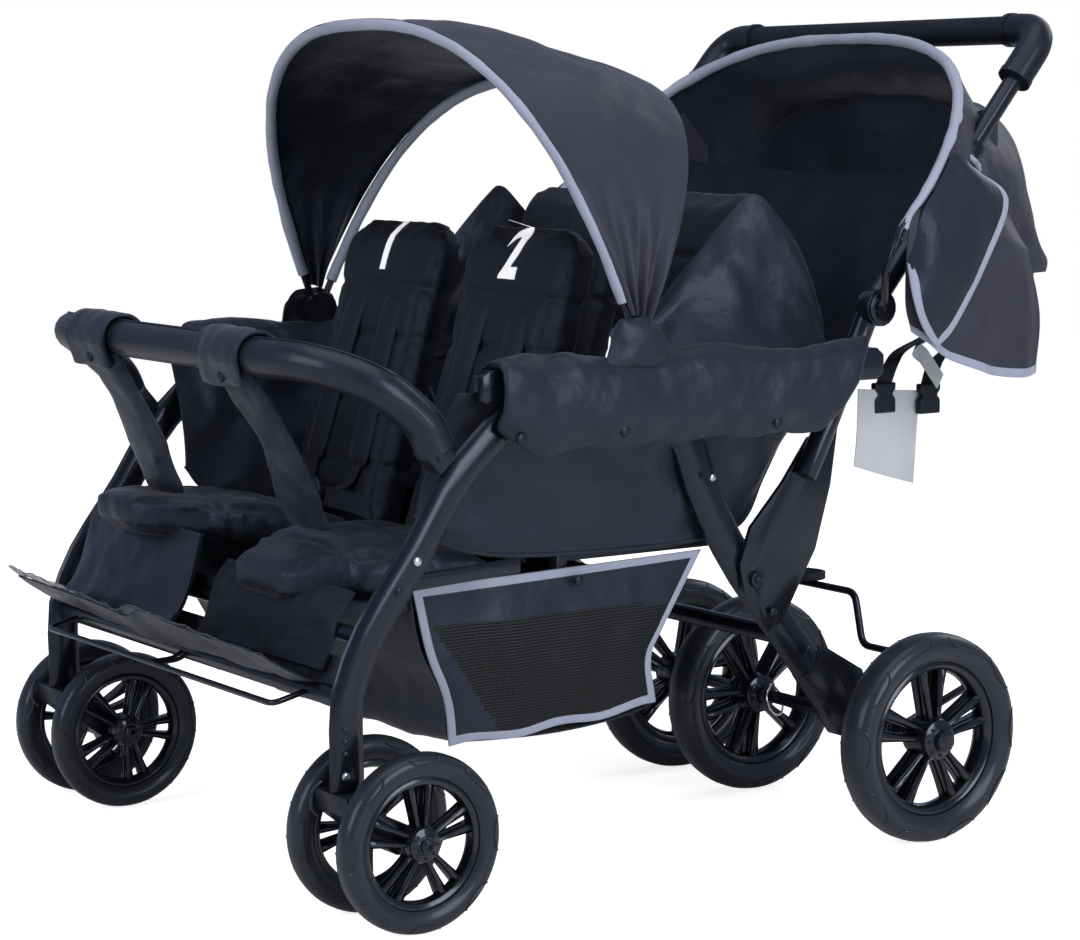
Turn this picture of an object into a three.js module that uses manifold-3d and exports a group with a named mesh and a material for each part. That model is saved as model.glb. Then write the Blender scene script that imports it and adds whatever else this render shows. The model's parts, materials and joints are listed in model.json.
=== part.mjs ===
// Four-seat stroller: two rows of two seats on a folding frame with eight wheels.
// Millimetres. X runs across, Y runs to the back, Z is up, and the floor is at zero.
import * as THREE from 'three';
import { mergeVertices } from 'three/addons/utils/BufferGeometryUtils.js';
import Module from 'manifold-3d';

const wasm = await Module();
wasm.setup();

// Side view: every place on the frame is a share of these two lengths.
const frameLength = 1000; // caster axis to handle bar
const frameHeight = 1000; // floor to just above the canopies

// Planes of the frame, from the centre outwards.
const frameHalf = 343; // front legs and side rails
const handleInset = 31; // handle tubes, which fold between rear legs and front legs
const rearInset = 27;
const boardInset = 23;
const handleHalf = frameHalf - handleInset;
const rearHalf = handleHalf - rearInset; // rear legs
const boardHalf = rearHalf - boardInset; // seat board

// Running and seating clearances.
const gap = 0.3; // between pieces that touch
const runningGap = 1.2; // between pieces that move past each other
const overrun = 5; // how far a cutter passes the face that it cuts

// Tubes and bars.
const legThickness = 18;
const legDepth = 42;
const rearLegThickness = 20;
const rearLegDepth = 46;
const crossTubeRadius = 11;
const seatTubeRadius = 9;
const stageRadius = 14; // fixed stage of the handle tube
const handleRadius = 11.5; // sliding stage of the handle tube
const gripRadius = 17.5;
const hoopRadius = 4.5;
const wireRadius = 3.5;
const brakeRadius = 5;
const pinRadius = 6;
const pinHeadRadius = 10;
const pinHeadThickness = 4;

// Wheels.
const frontWheelRadius = 97;
const frontWheelWidth = 31;
const frontWheelOffset = 51.5; // each side of the caster axis
const rearWheelRadius = 125;
const rearWheelWidth = 46;
const rearWheelOutset = 65;
const rearOuterHalf = frameHalf + rearWheelOutset;
const rearInnerHalf = 77;
const wheelSides = 20;
const rimShare = 0.738;
const frontAxleRadius = 6;
const rearAxleRadius = 8;
const hubOverhang = 2; // hub beyond the tyre wall, each side
const axleEnd = 6; // axle beyond the last hub
const collarWidth = 6;
const collarRadius = 13;

// Soft parts.
const seatWidth = 240;
const seatHalf = 137; // centre plane to a seat's middle
const padThickness = 44;
const backHeight = 388;
const backThickness = 36;
const boardThickness = 14;
const clothThickness = 3;
const panelThickness = 4;
const boardRise = 37; // rear row above front row

const left = ['left', 1];
const right = ['right', -1];
const sides = [left, right];

const group = new THREE.Group();

const black = [0x24262c, 0.4, 0.6];
const plastic = [0x17181b, 0.55, 0];
const rubber = [0x1c1c1e, 0.85, 0];
const navyCloth = [0x2c303a, 0.9, 0];
const leatherette = [0x1d1e21, 0.5, 0];
const foam = [0x1b1b1d, 0.8, 0];

function add(name, geometry, [color, roughness, metalness]) {
  const material = new THREE.MeshStandardMaterial({ color, roughness, metalness });
  const mesh = new THREE.Mesh(geometry, material);
  mesh.name = name;
  group.add(mesh);
  return mesh;
}

// Shares of the side view to lengths.
const place = ([yShare, zShare]) => [yShare * frameLength, zShare * frameHeight];
const point = (x, shares) => new THREE.Vector3(x, ...place(shares));

function volume(geometry) {
  const p = geometry.attributes.position;
  const index = geometry.index.array;
  const a = new THREE.Vector3();
  const b = new THREE.Vector3();
  const c = new THREE.Vector3();
  let total = 0;
  for (let i = 0; i < index.length; i += 3) {
    a.fromBufferAttribute(p, index[i]);
    b.fromBufferAttribute(p, index[i + 1]);
    c.fromBufferAttribute(p, index[i + 2]);
    total += a.dot(b.cross(c));
  }
  return total;
}

// Shared vertices merged, and faces turned outwards.
function closed(geometry) {
  geometry.deleteAttribute('normal');
  geometry.deleteAttribute('uv');
  const merged = mergeVertices(geometry);
  if (volume(merged) < 0) {
    const index = merged.index.array;
    for (let i = 0; i < index.length; i += 3) {
      [index[i + 1], index[i + 2]] = [index[i + 2], index[i + 1]];
    }
  }
  return merged;
}

function solid(geometry) {
  const vertProperties = new Float32Array(geometry.attributes.position.array);
  const triVerts = new Uint32Array(geometry.index.array);
  return new wasm.Manifold(new wasm.Mesh({ numProp: 3, vertProperties, triVerts }));
}

function geometryOf(manifold) {
  const mesh = manifold.getMesh();
  const geometry = new THREE.BufferGeometry();
  geometry.setAttribute('position', new THREE.BufferAttribute(mesh.vertProperties, 3));
  geometry.setIndex(new THREE.BufferAttribute(mesh.triVerts, 1));
  return geometry;
}

const join = (...parts) => geometryOf(parts.map(solid).reduce((a, b) => a.add(b)));
const cut = (base, ...tools) => geometryOf(tools.map(solid).reduce((a, b) => a.subtract(b), solid(base)));

// A hole's corner radius, so that its flats clear a round pin.
const bore = (radius, count) => (radius + gap) / Math.cos(Math.PI / count);

// Outline in the side view, extruded across from x0 to x1.
function profile(outline, x0, x1, holes = []) {
  const shape = new THREE.Shape(outline.map(([y, z]) => new THREE.Vector2(y, z)));
  for (const hole of holes) {
    shape.holes.push(new THREE.Path(hole.map(([y, z]) => new THREE.Vector2(y, z))));
  }
  const depth = Math.abs(x1 - x0);
  const geometry = new THREE.ExtrudeGeometry(shape, { depth, bevelEnabled: false });
  const axes = [new THREE.Vector3(0, 1, 0), new THREE.Vector3(0, 0, 1), new THREE.Vector3(1, 0, 0)];
  geometry.applyMatrix4(new THREE.Matrix4().makeBasis(...axes));
  geometry.translate(Math.min(x0, x1), 0, 0);
  return closed(geometry);
}

const circle = ([y, z], radius, count) => Array.from({ length: count }, (_, i) => {
  const angle = (i + 0.5) * 2 * Math.PI / count;
  return [y + radius * Math.cos(angle), z + radius * Math.sin(angle)];
});

const rodAcross = (centre, radius, x0, x1, count = 12) => profile(circle(centre, radius, count), x0, x1);

function box(x0, x1, y0, y1, z0, z1) {
  const geometry = new THREE.BoxGeometry(Math.abs(x1 - x0), Math.abs(y1 - y0), Math.abs(z1 - z0));
  geometry.translate((x0 + x1) / 2, (y0 + y1) / 2, (z0 + z1) / 2);
  return closed(geometry);
}

// Tube or oval bar along a curve. The first half-size lies across, the second in the side view.
function sweep(curve, halfAcross, halfInPlane, steps, count = 10) {
  const { normals } = curve.computeFrenetFrames(1, false);
  const firstIsAcross = Math.abs(normals[0].x) > Math.SQRT1_2;
  const halfX = firstIsAcross ? halfAcross : halfInPlane;
  const halfY = firstIsAcross ? halfInPlane : halfAcross;
  const points = Array.from({ length: count }, (_, i) => {
    const angle = i * 2 * Math.PI / count;
    return new THREE.Vector2(halfX * Math.cos(angle), halfY * Math.sin(angle));
  });
  const shape = new THREE.Shape(points);
  return closed(new THREE.ExtrudeGeometry(shape, { steps, extrudePath: curve, bevelEnabled: false }));
}

const smooth = (points) => new THREE.CatmullRomCurve3(points, false, 'centripetal');

// Straight runs with a rounded corner at each inner point.
function rounded(points, radius) {
  const path = new THREE.CurvePath();
  let from = points[0];
  for (let i = 1; i < points.length - 1; i += 1) {
    const corner = points[i];
    const entry = corner.clone().add(points[i - 1].clone().sub(corner).setLength(radius));
    const exit = corner.clone().add(points[i + 1].clone().sub(corner).setLength(radius));
    path.add(new THREE.LineCurve3(from, entry));
    path.add(new THREE.QuadraticBezierCurve3(entry, corner, exit));
    from = exit;
  }
  path.add(new THREE.LineCurve3(from, points[points.length - 1]));
  return path;
}

// Ring or disc turned about the cross axis, from [radius, x] pairs.
function turned(pairs, [x, y, z], count, closes) {
  const points = pairs.map(([r, along]) => new THREE.Vector2(r / Math.cos(Math.PI / count), along));
  if (closes) points.push(points[0].clone());
  const geometry = new THREE.LatheGeometry(points, count, Math.PI / count);
  geometry.rotateZ(-Math.PI / 2);
  geometry.translate(x, y, z);
  return closed(geometry);
}

// Closed body from a unit box whose points are moved by a rule of u, v and w, each 0 to 1.
function moulded(nu, nv, nw, rule) {
  const geometry = closed(new THREE.BoxGeometry(1, 1, 1, nu, nv, nw));
  const p = geometry.attributes.position;
  for (let i = 0; i < p.count; i += 1) {
    const target = rule(p.getX(i) + 0.5, p.getY(i) + 0.5, p.getZ(i) + 0.5);
    p.setXYZ(i, target.x, target.y, target.z);
  }
  return closed(geometry);
}

const mix = THREE.MathUtils.lerp;

// Wheels: a five-spoke rim with a hub, and a solid tyre round it.
const hubShare = 0.24;
const ringShare = 0.84;
const discShare = 0.9;
const windowShares = [0.38, 0.8];
const spokeShare = 0.13;
const spokeCount = 5;
const discThicknessShare = 0.36;
const tyreShares = [[rimShare, -0.31], [0.93, -0.5], [1, -0.27], [1, 0.27], [0.93, 0.5], [rimShare, 0.31]];
const ringHalfShare = 0.29;

function spokeWindow([y, z], rimRadius, index) {
  const [inner, outer] = windowShares.map((share) => share * rimRadius);
  const middle = (index + 0.5) * 2 * Math.PI / spokeCount;
  const arc = (radius, count) => Array.from({ length: count + 1 }, (_, i) => {
    const half = Math.PI / spokeCount - Math.asin(spokeShare * rimRadius / radius);
    const angle = middle + mix(-half, half, i / count);
    return [y + radius * Math.cos(angle), z + radius * Math.sin(angle)];
  });
  return [...arc(outer, 2), ...arc(inner, 1).reverse()];
}

function wheel(end, label, x, y, radius, width, axleRadius) {
  const centre = [x, y, radius];
  const rimRadius = radius * rimShare;
  const tyre = turned(tyreShares.map(([r, along]) => [r * radius, along * width]), centre, wheelSides, true);
  const ringHalf = ringHalfShare * width;
  const ring = turned([
    [rimRadius - gap, -ringHalf],
    [rimRadius - gap, ringHalf],
    [rimRadius * ringShare, ringHalf],
    [rimRadius * ringShare, -ringHalf],
  ], centre, wheelSides, true);
  const hubHalf = width / 2 + hubOverhang;
  const holeRadius = axleRadius + gap;
  const hubRadius = rimRadius * hubShare;
  const hub = turned([
    [holeRadius, -hubHalf],
    [hubRadius, -hubHalf],
    [hubRadius, hubHalf],
    [holeRadius, hubHalf],
  ], centre, wheelSides / 2, true);
  const discHalf = discThicknessShare * width / 2;
  const windows = Array.from({ length: spokeCount }, (_, i) => spokeWindow([y, radius], rimRadius, i));
  const hole = circle([y, radius], (holeRadius + hubRadius) / 2, wheelSides / 2);
  const disc = profile(circle([y, radius], rimRadius * discShare, wheelSides), x - discHalf, x + discHalf, [hole, ...windows]);
  add(`${end}_rim_${label}`, join(ring, disc, hub), plastic);
  add(`${end}_tyre_${label}`, tyre, rubber);
}

const frontAxleShares = [-0.305, 0];
const rearAxleShares = [0.4, 0];
const casterShares = [-0.361, 0];
const [frontAxleY] = place(frontAxleShares);
const [rearAxleY] = place(rearAxleShares);
const [casterY] = place(casterShares);

for (const [side, sign] of sides) {
  for (const [reach, direction] of [['outer', 1], ['inner', -1]]) {
    const x = sign * (frameHalf + direction * frontWheelOffset);
    wheel('front', `${reach}_${side}`, x, frontAxleY, frontWheelRadius, frontWheelWidth, frontAxleRadius);
  }
  wheel('rear', `outer_${side}`, sign * rearOuterHalf, rearAxleY, rearWheelRadius, rearWheelWidth, rearAxleRadius);
  wheel('rear', `inner_${side}`, sign * rearInnerHalf, rearAxleY, rearWheelRadius, rearWheelWidth, rearAxleRadius);
}

// Caster forks: a stem in the leg's foot, and a neck that trails back to the axle between two wheels.
const casterRise = 53; // wheel axle to the top of the fork
const casterTop = frontWheelRadius + casterRise;
const stemRadius = 5.5;
const stemLength = 35;
const neckHalf = 20;
const neckDrop = 20;
const bossRadius = 15;
const forkHalf = frontWheelOffset - frontWheelWidth / 2 - hubOverhang - runningGap;
const frontAxleHalf = frontWheelOffset + frontWheelWidth / 2 + hubOverhang + axleEnd;

const rodUp = (x, y, radius, z0, z1) => sweep(
  new THREE.LineCurve3(new THREE.Vector3(x, y, z0), new THREE.Vector3(x, y, z1)), radius, radius, 1, 12);

for (const [side, sign] of sides) {
  const x = sign * frameHalf;
  const neck = profile([
    [casterY - neckHalf, casterTop],
    [casterY + neckHalf, casterTop],
    [casterY + neckHalf, casterTop - neckDrop],
    [frontAxleY + bossRadius, frontWheelRadius + bossRadius / 2],
    [frontAxleY + bossRadius / 2, frontWheelRadius - bossRadius],
    [frontAxleY - bossRadius, frontWheelRadius - bossRadius],
    [casterY - neckHalf, casterTop - neckDrop],
  ], x - forkHalf, x + forkHalf);
  const axle = rodAcross([frontAxleY, frontWheelRadius], frontAxleRadius, x - frontAxleHalf, x + frontAxleHalf);
  const stem = rodUp(x, casterY, stemRadius, casterTop - neckDrop, casterTop + stemLength);
  add(`caster_fork_${side}`, join(neck, axle, stem), plastic);
}

// Front legs: flat oval tubes from the casters up to the side rails, with a stub of the seat link.
const railShares = [
  [-0.195, 0.552], [-0.185, 0.548], [0.362, 0.548], [0.372, 0.556],
  [0.372, 0.577], [0.362, 0.585], [-0.185, 0.585], [-0.195, 0.579],
];
const [, railBottom] = place(railShares[1]);
const [, railTop] = place(railShares[5]);
const frontLegShares = [
  [-0.361, 0.199], [-0.361, 0.247], [-0.336, 0.308], [-0.301, 0.358],
  [-0.278, 0.388], [-0.223, 0.47], [-0.158, 0.53], [-0.112, 0.574],
];
const linkShares = [[-0.3, 0.352], [-0.135, 0.361], [-0.135, 0.377], [-0.3, 0.368]];
const linkInset = 7; // link bar, inside the leg's inner face
const linkOverlap = 2;
const legInner = frameHalf - legThickness / 2;
const legSteps = 15;

for (const [side, sign] of sides) {
  const x = sign * frameHalf;
  const foot = new THREE.Vector3(x, casterY, casterTop + gap);
  const curve = smooth([foot, ...frontLegShares.map((shares) => point(x, shares))]);
  const tube = sweep(curve, legThickness / 2, legDepth / 2, legSteps);
  const link = profile(linkShares.map(place), sign * (legInner - linkInset), sign * (legInner + linkOverlap));
  const [, high] = place([0, 1]);
  const reach = frameLength / 2;
  const aboveRail = box(x - legThickness, x + legThickness, -reach, reach, railBottom - gap, high);
  const socket = rodUp(x, casterY, bore(stemRadius, 12), casterTop - overrun, casterTop + stemLength + gap * 2);
  add(`front_leg_${side}`, cut(join(tube, link), aboveRail, socket), black);
  const rail = profile(railShares.map(place), sign * legInner, sign * (legInner + legThickness));
  add(`side_rail_${side}`, rail, black);
}

const frontTubeShares = [-0.361, 0.247];
const seatTubeShares = [-0.33, 0.308];
const rearTubeShares = [0.286, 0.238];
const frontTubeHalf = legInner - gap;
add('front_cross_tube', rodAcross(place(frontTubeShares), crossTubeRadius, -frontTubeHalf, frontTubeHalf), black);
add('seat_cross_tube', rodAcross(place(seatTubeShares), seatTubeRadius, -frontTubeHalf, frontTubeHalf), black);

// Seat board: stepped between the rows, with a hinge bead for each row and a hanger at each rear leg.
const hingeRadius = 7;
const hangerThickness = 3.5;
const hangerHalf = 24;
const boardEndShares = [[-0.335, 0], [0.19, 0]];
const boardStepShares = [-0.035, 0];
const hingeShares = [[-0.085, 0], [0.182, 0]];
const foldPivotShares = [0.11, 0.52];
const [[boardFront], [boardRear]] = boardEndShares.map(place);
const [boardStep] = place(boardStepShares);
const [, seatTubeZ] = place(seatTubeShares);
const boardBottom = seatTubeZ + seatTubeRadius + gap;
const boardTop = boardBottom + boardThickness;
const rowBottoms = [boardBottom, boardBottom + boardRise];
const rowTops = [boardTop, boardTop + boardRise];
const hinges = hingeShares.map((shares, row) => [place(shares)[0], rowTops[row] + hingeRadius * 0.8]);
const foldPivot = place(foldPivotShares);
const rearLegInner = rearHalf - rearLegThickness / 2;
const rearLegOuter = rearHalf + rearLegThickness / 2;

let seatBoard = profile([
  [boardFront, rowBottoms[0]],
  [boardStep + boardThickness, rowBottoms[0]],
  [boardStep + boardThickness, rowBottoms[1]],
  [boardRear, rowBottoms[1]],
  [boardRear, rowTops[1]],
  [boardStep, rowTops[1]],
  [boardStep, rowTops[0]],
  [boardFront, rowTops[0]],
], -boardHalf, boardHalf);
const hingeHalf = boardHalf - hangerThickness - overrun;
for (const hinge of hinges) {
  seatBoard = join(seatBoard, rodAcross(hinge, hingeRadius, -hingeHalf, hingeHalf, 8));
}
for (const [, sign] of sides) {
  const [pivotY, pivotZ] = foldPivot;
  const hanger = profile([
    [pivotY - hangerHalf, rowBottoms[1]],
    [pivotY + hangerHalf, rowBottoms[1]],
    [pivotY + hangerHalf / 2, pivotZ + hangerHalf],
    [pivotY - hangerHalf / 2, pivotZ + hangerHalf],
  ], sign * (boardHalf - hangerThickness), sign * boardHalf);
  const pin = rodAcross(foldPivot, pinRadius, sign * (boardHalf - hangerThickness), sign * rearLegOuter);
  seatBoard = join(seatBoard, hanger, pin);
}
add('seat_board', seatBoard, plastic);

// Rear frame: two legs that hang from the fold pivots, an axle for four wheels and a cross tube.
const rearLegShares = [
  [0.096, 0.552], [0.11, 0.52], [0.134, 0.478], [0.154, 0.425], [0.187, 0.366],
  [0.217, 0.322], [0.286, 0.238], [0.35, 0.158], [0.378, 0.126],
];
const bracketShares = [[0.3, 0.19], [0.336, 0.222], [0.392, 0.19], [0.414, 0.13], [0.4, 0.109], [0.358, 0.112]];
const rearLegSteps = 12;
const bracketOverlap = 3; // bracket plate beyond the leg's side
const bracketBossRadius = 17;
const handlePivotShares = [0.222, 0.316];
const handlePivot = place(handlePivotShares);
const rearAxle = [rearAxleY, rearWheelRadius];
const plateThickness = 6;
const plateInner = rearLegOuter + runningGap;
const plateOuter = plateInner + plateThickness;

for (const [side, sign] of sides) {
  const x = sign * rearHalf;
  const tube = sweep(smooth(rearLegShares.map((shares) => point(x, shares))), rearLegThickness / 2, rearLegDepth / 2, rearLegSteps);
  const bracketX = [rearLegInner, rearLegOuter].map((value) => sign * value);
  bracketX[1] += sign * bracketOverlap;
  const bracket = profile(bracketShares.map(place), ...bracketX);
  const boss = rodAcross(rearAxle, bracketBossRadius, ...bracketX);
  const pin = rodAcross(handlePivot, pinRadius, x, sign * (plateOuter + gap + pinHeadThickness));
  const headX = [plateOuter + gap, plateOuter + gap + pinHeadThickness].map((value) => sign * value);
  const head = rodAcross(handlePivot, pinHeadRadius, ...headX);
  const far = rearHalf + rearLegThickness;
  const pivotHole = rodAcross(foldPivot, bore(pinRadius, 12), sign * (rearHalf - rearLegThickness), sign * far);
  const axleHole = rodAcross(rearAxle, bore(rearAxleRadius, 12), sign * (rearHalf - rearLegThickness), sign * far);
  const leg = cut(join(tube, bracket, boss), pivotHole, axleHole);
  add(`rear_leg_${side}`, join(leg, pin, head), black);
}
const rearTubeHalf = rearLegInner - gap;
add('rear_cross_tube', rodAcross(place(rearTubeShares), crossTubeRadius, -rearTubeHalf, rearTubeHalf), black);

// Rear axle: plain bar with a collar on each side of every wheel.
const rearHubHalf = rearWheelWidth / 2 + hubOverhang;
const rearAxleHalf = rearOuterHalf + rearHubHalf + runningGap + axleEnd;
const collarStarts = [rearInnerHalf, rearOuterHalf].flatMap((x) => [
  x - rearHubHalf - runningGap - collarWidth,
  x + rearHubHalf + runningGap,
]);
let axleBar = rodAcross(rearAxle, rearAxleRadius, -rearAxleHalf, rearAxleHalf);
for (const start of collarStarts) {
  for (const [, sign] of sides) {
    axleBar = join(axleBar, rodAcross(rearAxle, collarRadius, sign * start, sign * (start + collarWidth), 10));
  }
}
add('rear_axle', axleBar, black);

// Brake: a bar that turns about the axle, with a raised middle that carries the pedal.
const brakeOutset = 2;
const brakeHalf = frameHalf + brakeOutset;
const brakeRingHalf = 7;
const brakeRingRadius = 15;
const brakeBackShares = [0.555, 0.174];
const brakeHumpShares = [0.551, 0.242];
const brakeHumpHalf = 100;
const brakeStepOut = 12;
const brakeCorner = 14;
const brakeSteps = 36;
const pedalRadius = 27;
const pedalThickness = 10;
const brakePath = rounded([
  new THREE.Vector3(brakeHalf, ...rearAxle).add(new THREE.Vector3(0, rearAxleRadius + brakeRadius, 0)),
  point(brakeHalf, brakeBackShares),
  point(brakeHumpHalf + brakeStepOut, brakeBackShares),
  point(brakeHumpHalf, brakeHumpShares),
  point(-brakeHumpHalf, brakeHumpShares),
  point(-brakeHumpHalf - brakeStepOut, brakeBackShares),
  point(-brakeHalf, brakeBackShares),
  new THREE.Vector3(-brakeHalf, ...rearAxle).add(new THREE.Vector3(0, rearAxleRadius + brakeRadius, 0)),
], brakeCorner);
let brakeBar = sweep(brakePath, brakeRadius, brakeRadius, brakeSteps, 6);
for (const [, sign] of sides) {
  const x = sign * brakeHalf;
  const ring = rodAcross(rearAxle, brakeRingRadius, x - brakeRingHalf, x + brakeRingHalf);
  brakeBar = join(brakeBar, ring);
}
for (const [, sign] of sides) {
  const x = sign * brakeHalf;
  const hole = rodAcross(rearAxle, bore(rearAxleRadius, 12), x - brakeRingHalf - overrun, x + brakeRingHalf + overrun);
  brakeBar = cut(brakeBar, hole);
}
add('brake_bar', brakeBar, black);
const [pedalY, pedalZ] = place(brakeHumpShares);
const pedalBottom = pedalZ + brakeRadius + gap;
add('brake_pedal', rodUp(0, pedalY, pedalRadius, pedalBottom, pedalBottom + pedalThickness), rubber);

// Handle: a plate and a kinked stage tube on each side, and a sliding hoop with a foam grip.
const plateShares = [
  [0.3, 0.478], [0.345, 0.494], [0.334, 0.42], [0.312, 0.345], [0.262, 0.262],
  [0.24, 0.252], [0.205, 0.3], [0.198, 0.335], [0.214, 0.378], [0.262, 0.428],
];
const stageShares = [[0.286, 0.434], [0.318, 0.494], [0.352, 0.564], [0.384, 0.63]];
const stageTopShares = [0.545, 0.821];
const knobShares = [0.384, 0.63];
const knobRadius = 22;
const knobOuter = legInner - runningGap;
const latchShares = [0.357, 0.574];
const collarLength = 42;
const stageCollarRadius = 17;
const slideDepth = 215;
const insertedLength = 140;
const gripShare = 0.7366; // stage top to the grip, as a share of the tube above the knob
const gripInset = 62;
const gripHalf = handleHalf - gripInset;
const handleCorner = 48;
const knob = place(knobShares);
const hoopPinRadius = 5;
const hoopDiscThickness = 8;

for (const [side, sign] of sides) {
  const x = sign * handleHalf;
  const plate = profile(plateShares.map(place), sign * plateInner, sign * plateOuter);
  const lower = sweep(smooth(stageShares.map((shares) => point(x, shares))), stageRadius, stageRadius, 6, 12);
  const base = point(x, knobShares);
  const top = point(x, stageTopShares);
  const direction = top.clone().sub(base).normalize();
  const upper = sweep(new THREE.LineCurve3(base, top), stageRadius, stageRadius, 1, 12);
  const collarStart = top.clone().addScaledVector(direction, -collarLength);
  const collar = sweep(new THREE.LineCurve3(collarStart, top), stageCollarRadius, stageCollarRadius, 1, 12);
  const knobDisc = rodAcross(knob, knobRadius, x, sign * knobOuter, 16);
  const latch = rodAcross(place(latchShares), pinRadius, x, sign * knobOuter);
  const hoopPin = rodAcross(knob, hoopPinRadius, x, sign * (knobOuter + gap * 2 + hoopDiscThickness));
  const holeStart = top.clone().addScaledVector(direction, -slideDepth);
  const holeEnd = top.clone().addScaledVector(direction, overrun);
  const holeRadius = bore(handleRadius, 12);
  const slideHole = sweep(new THREE.LineCurve3(holeStart, holeEnd), holeRadius, holeRadius, 1, 12);
  const x0 = sign * (rearHalf + rearLegThickness / 2);
  const pivotHole = rodAcross(handlePivot, bore(pinRadius, 12), x0, sign * (plateOuter + overrun));
  const body = cut(join(plate, lower, upper, collar, knobDisc, latch, hoopPin), slideHole, pivotHole);
  add(`handle_lower_${side}`, body, black);
}

const slideBase = point(0, knobShares);
const slideTop = point(0, stageTopShares);
const slideDirection = slideTop.clone().sub(slideBase).normalize();
const slideStart = slideTop.clone().addScaledVector(slideDirection, -insertedLength);
const gripCentre = slideTop.clone().lerp(slideBase, -gripShare);
const across = (vector, x) => new THREE.Vector3(x, vector.y, vector.z);
const handlePath = rounded([
  across(slideStart, handleHalf),
  across(gripCentre, handleHalf),
  across(gripCentre, -handleHalf),
  across(slideStart, -handleHalf),
], handleCorner);
add('handle_upper', sweep(handlePath, handleRadius, handleRadius, 30, 8), black);
const gripRing = [gripCentre.y, gripCentre.z];
const gripHole = circle(gripRing, bore(handleRadius, 12), 12);
add('handle_grip', profile(circle(gripRing, gripRadius, 14), -gripHalf, gripHalf, [gripHole]), foam);

// Bumper bar: a padded bar across the front, on a clamp at each front leg.
const bumperRadius = 19;
const bumperPadOutset = 11;
const bumperPadHalf = frameHalf + bumperPadOutset;
const bumperEndShares = [[-0.258, 0.508], [-0.27, 0.548]];
const bumperBendShares = [-0.322, 0.59];
const bumperBendHalf = frameHalf;
const bumperTurnShares = [-0.371, 0.6];
const bumperTurnInset = 51;
const bumperTurnHalf = frameHalf - bumperTurnInset;
const bumperFrontShares = [-0.386, 0.6];
const bumperFrontInset = 128;
const bumperFrontHalf = frameHalf - bumperFrontInset;
const clampShares = [[-0.228, 0.4961], [-0.2487, 0.4769], [-0.2688, 0.4985], [-0.248, 0.5178]];
const bumperSide = [
  ...bumperEndShares.map((shares) => point(bumperPadHalf, shares)),
  point(bumperBendHalf, bumperBendShares),
  point(bumperTurnHalf, bumperTurnShares),
  point(bumperFrontHalf, bumperFrontShares),
  point(bumperFrontHalf / 2, bumperFrontShares),
];
const mirrored = bumperSide.map((p) => new THREE.Vector3(-p.x, p.y, p.z)).reverse();
const bumperCurve = smooth([...bumperSide, point(0, bumperFrontShares), ...mirrored]);
let bumper = sweep(bumperCurve, bumperRadius, bumperRadius, 28, 8);
for (const [, sign] of sides) {
  const clamp = profile(clampShares.map(place), sign * legInner, sign * (legInner + legThickness));
  bumper = join(bumper, clamp);
}
add('bumper_bar', bumper, leatherette);

// Crotch straps: a sleeve round the bumper bar and a tail down to the seat.
const strapHalf = 42;
const strapWall = 6;
const strapClearance = 1.3; // sleeve round the padded bar
const padFront = -350; // front lip of the front seats
const padClearance = 3; // pad to seat back
const padTop = rowTops[0] + gap + padThickness;
const strapFootShares = [[-0.298, 0], [-0.318, 0]];
const strapNeckShares = [[-0.366, 0.585], [-0.392, 0.585]];
const bumperFront = place(bumperFrontShares);
for (const [side, sign] of sides) {
  const xs = [sign * seatHalf - strapHalf, sign * seatHalf + strapHalf];
  const sleeveRadius = bumperRadius + strapClearance + strapWall;
  const sleeve = rodAcross(bumperFront, sleeveRadius, ...xs, 14);
  const [[footBack], [footFront]] = strapFootShares.map(place);
  const tail = profile([
    ...strapNeckShares.map(place),
    [footFront, padTop + gap],
    [footBack, padTop + gap],
  ], ...xs);
  const hole = rodAcross(bumperFront, bore(bumperRadius + strapClearance, 14), xs[0] - overrun, xs[1] + overrun, 14);
  add(`crotch_strap_${side}`, cut(join(sleeve, tail), hole), navyCloth);
}

// Cushion rule: 1 in the middle, falling to 0 at the edges of u and v.
const crown = (u, v, power) => (1 - Math.abs(2 * u - 1) ** power) * (1 - Math.abs(2 * v - 1) ** power);
const channel = (v, places, width) => places.reduce((sum, at) => sum + Math.exp(-(((v - at) / width) ** 2)), 0);

// Seats: a pad and a reclining back for each child.
const backLean = 16 * Math.PI / 180;
const padEdgeShare = 0.6;
const padDrawShare = 0.05;
const backEdgeShare = 0.55;
const channelShare = 0.14;
const channelWidthShare = 0.035;
const backChannelShares = [0.22, 0.42, 0.62, 0.82];
const padChannelShares = [0.36, 0.68];
const headShare = 0.16; // the back narrows by this towards its top
const rearPadFront = -22;
const padFronts = [padFront, rearPadFront];
const padRears = hinges.map(([y]) => y - backThickness / 2 - padClearance);
const rows = ['front', 'rear'];

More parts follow.
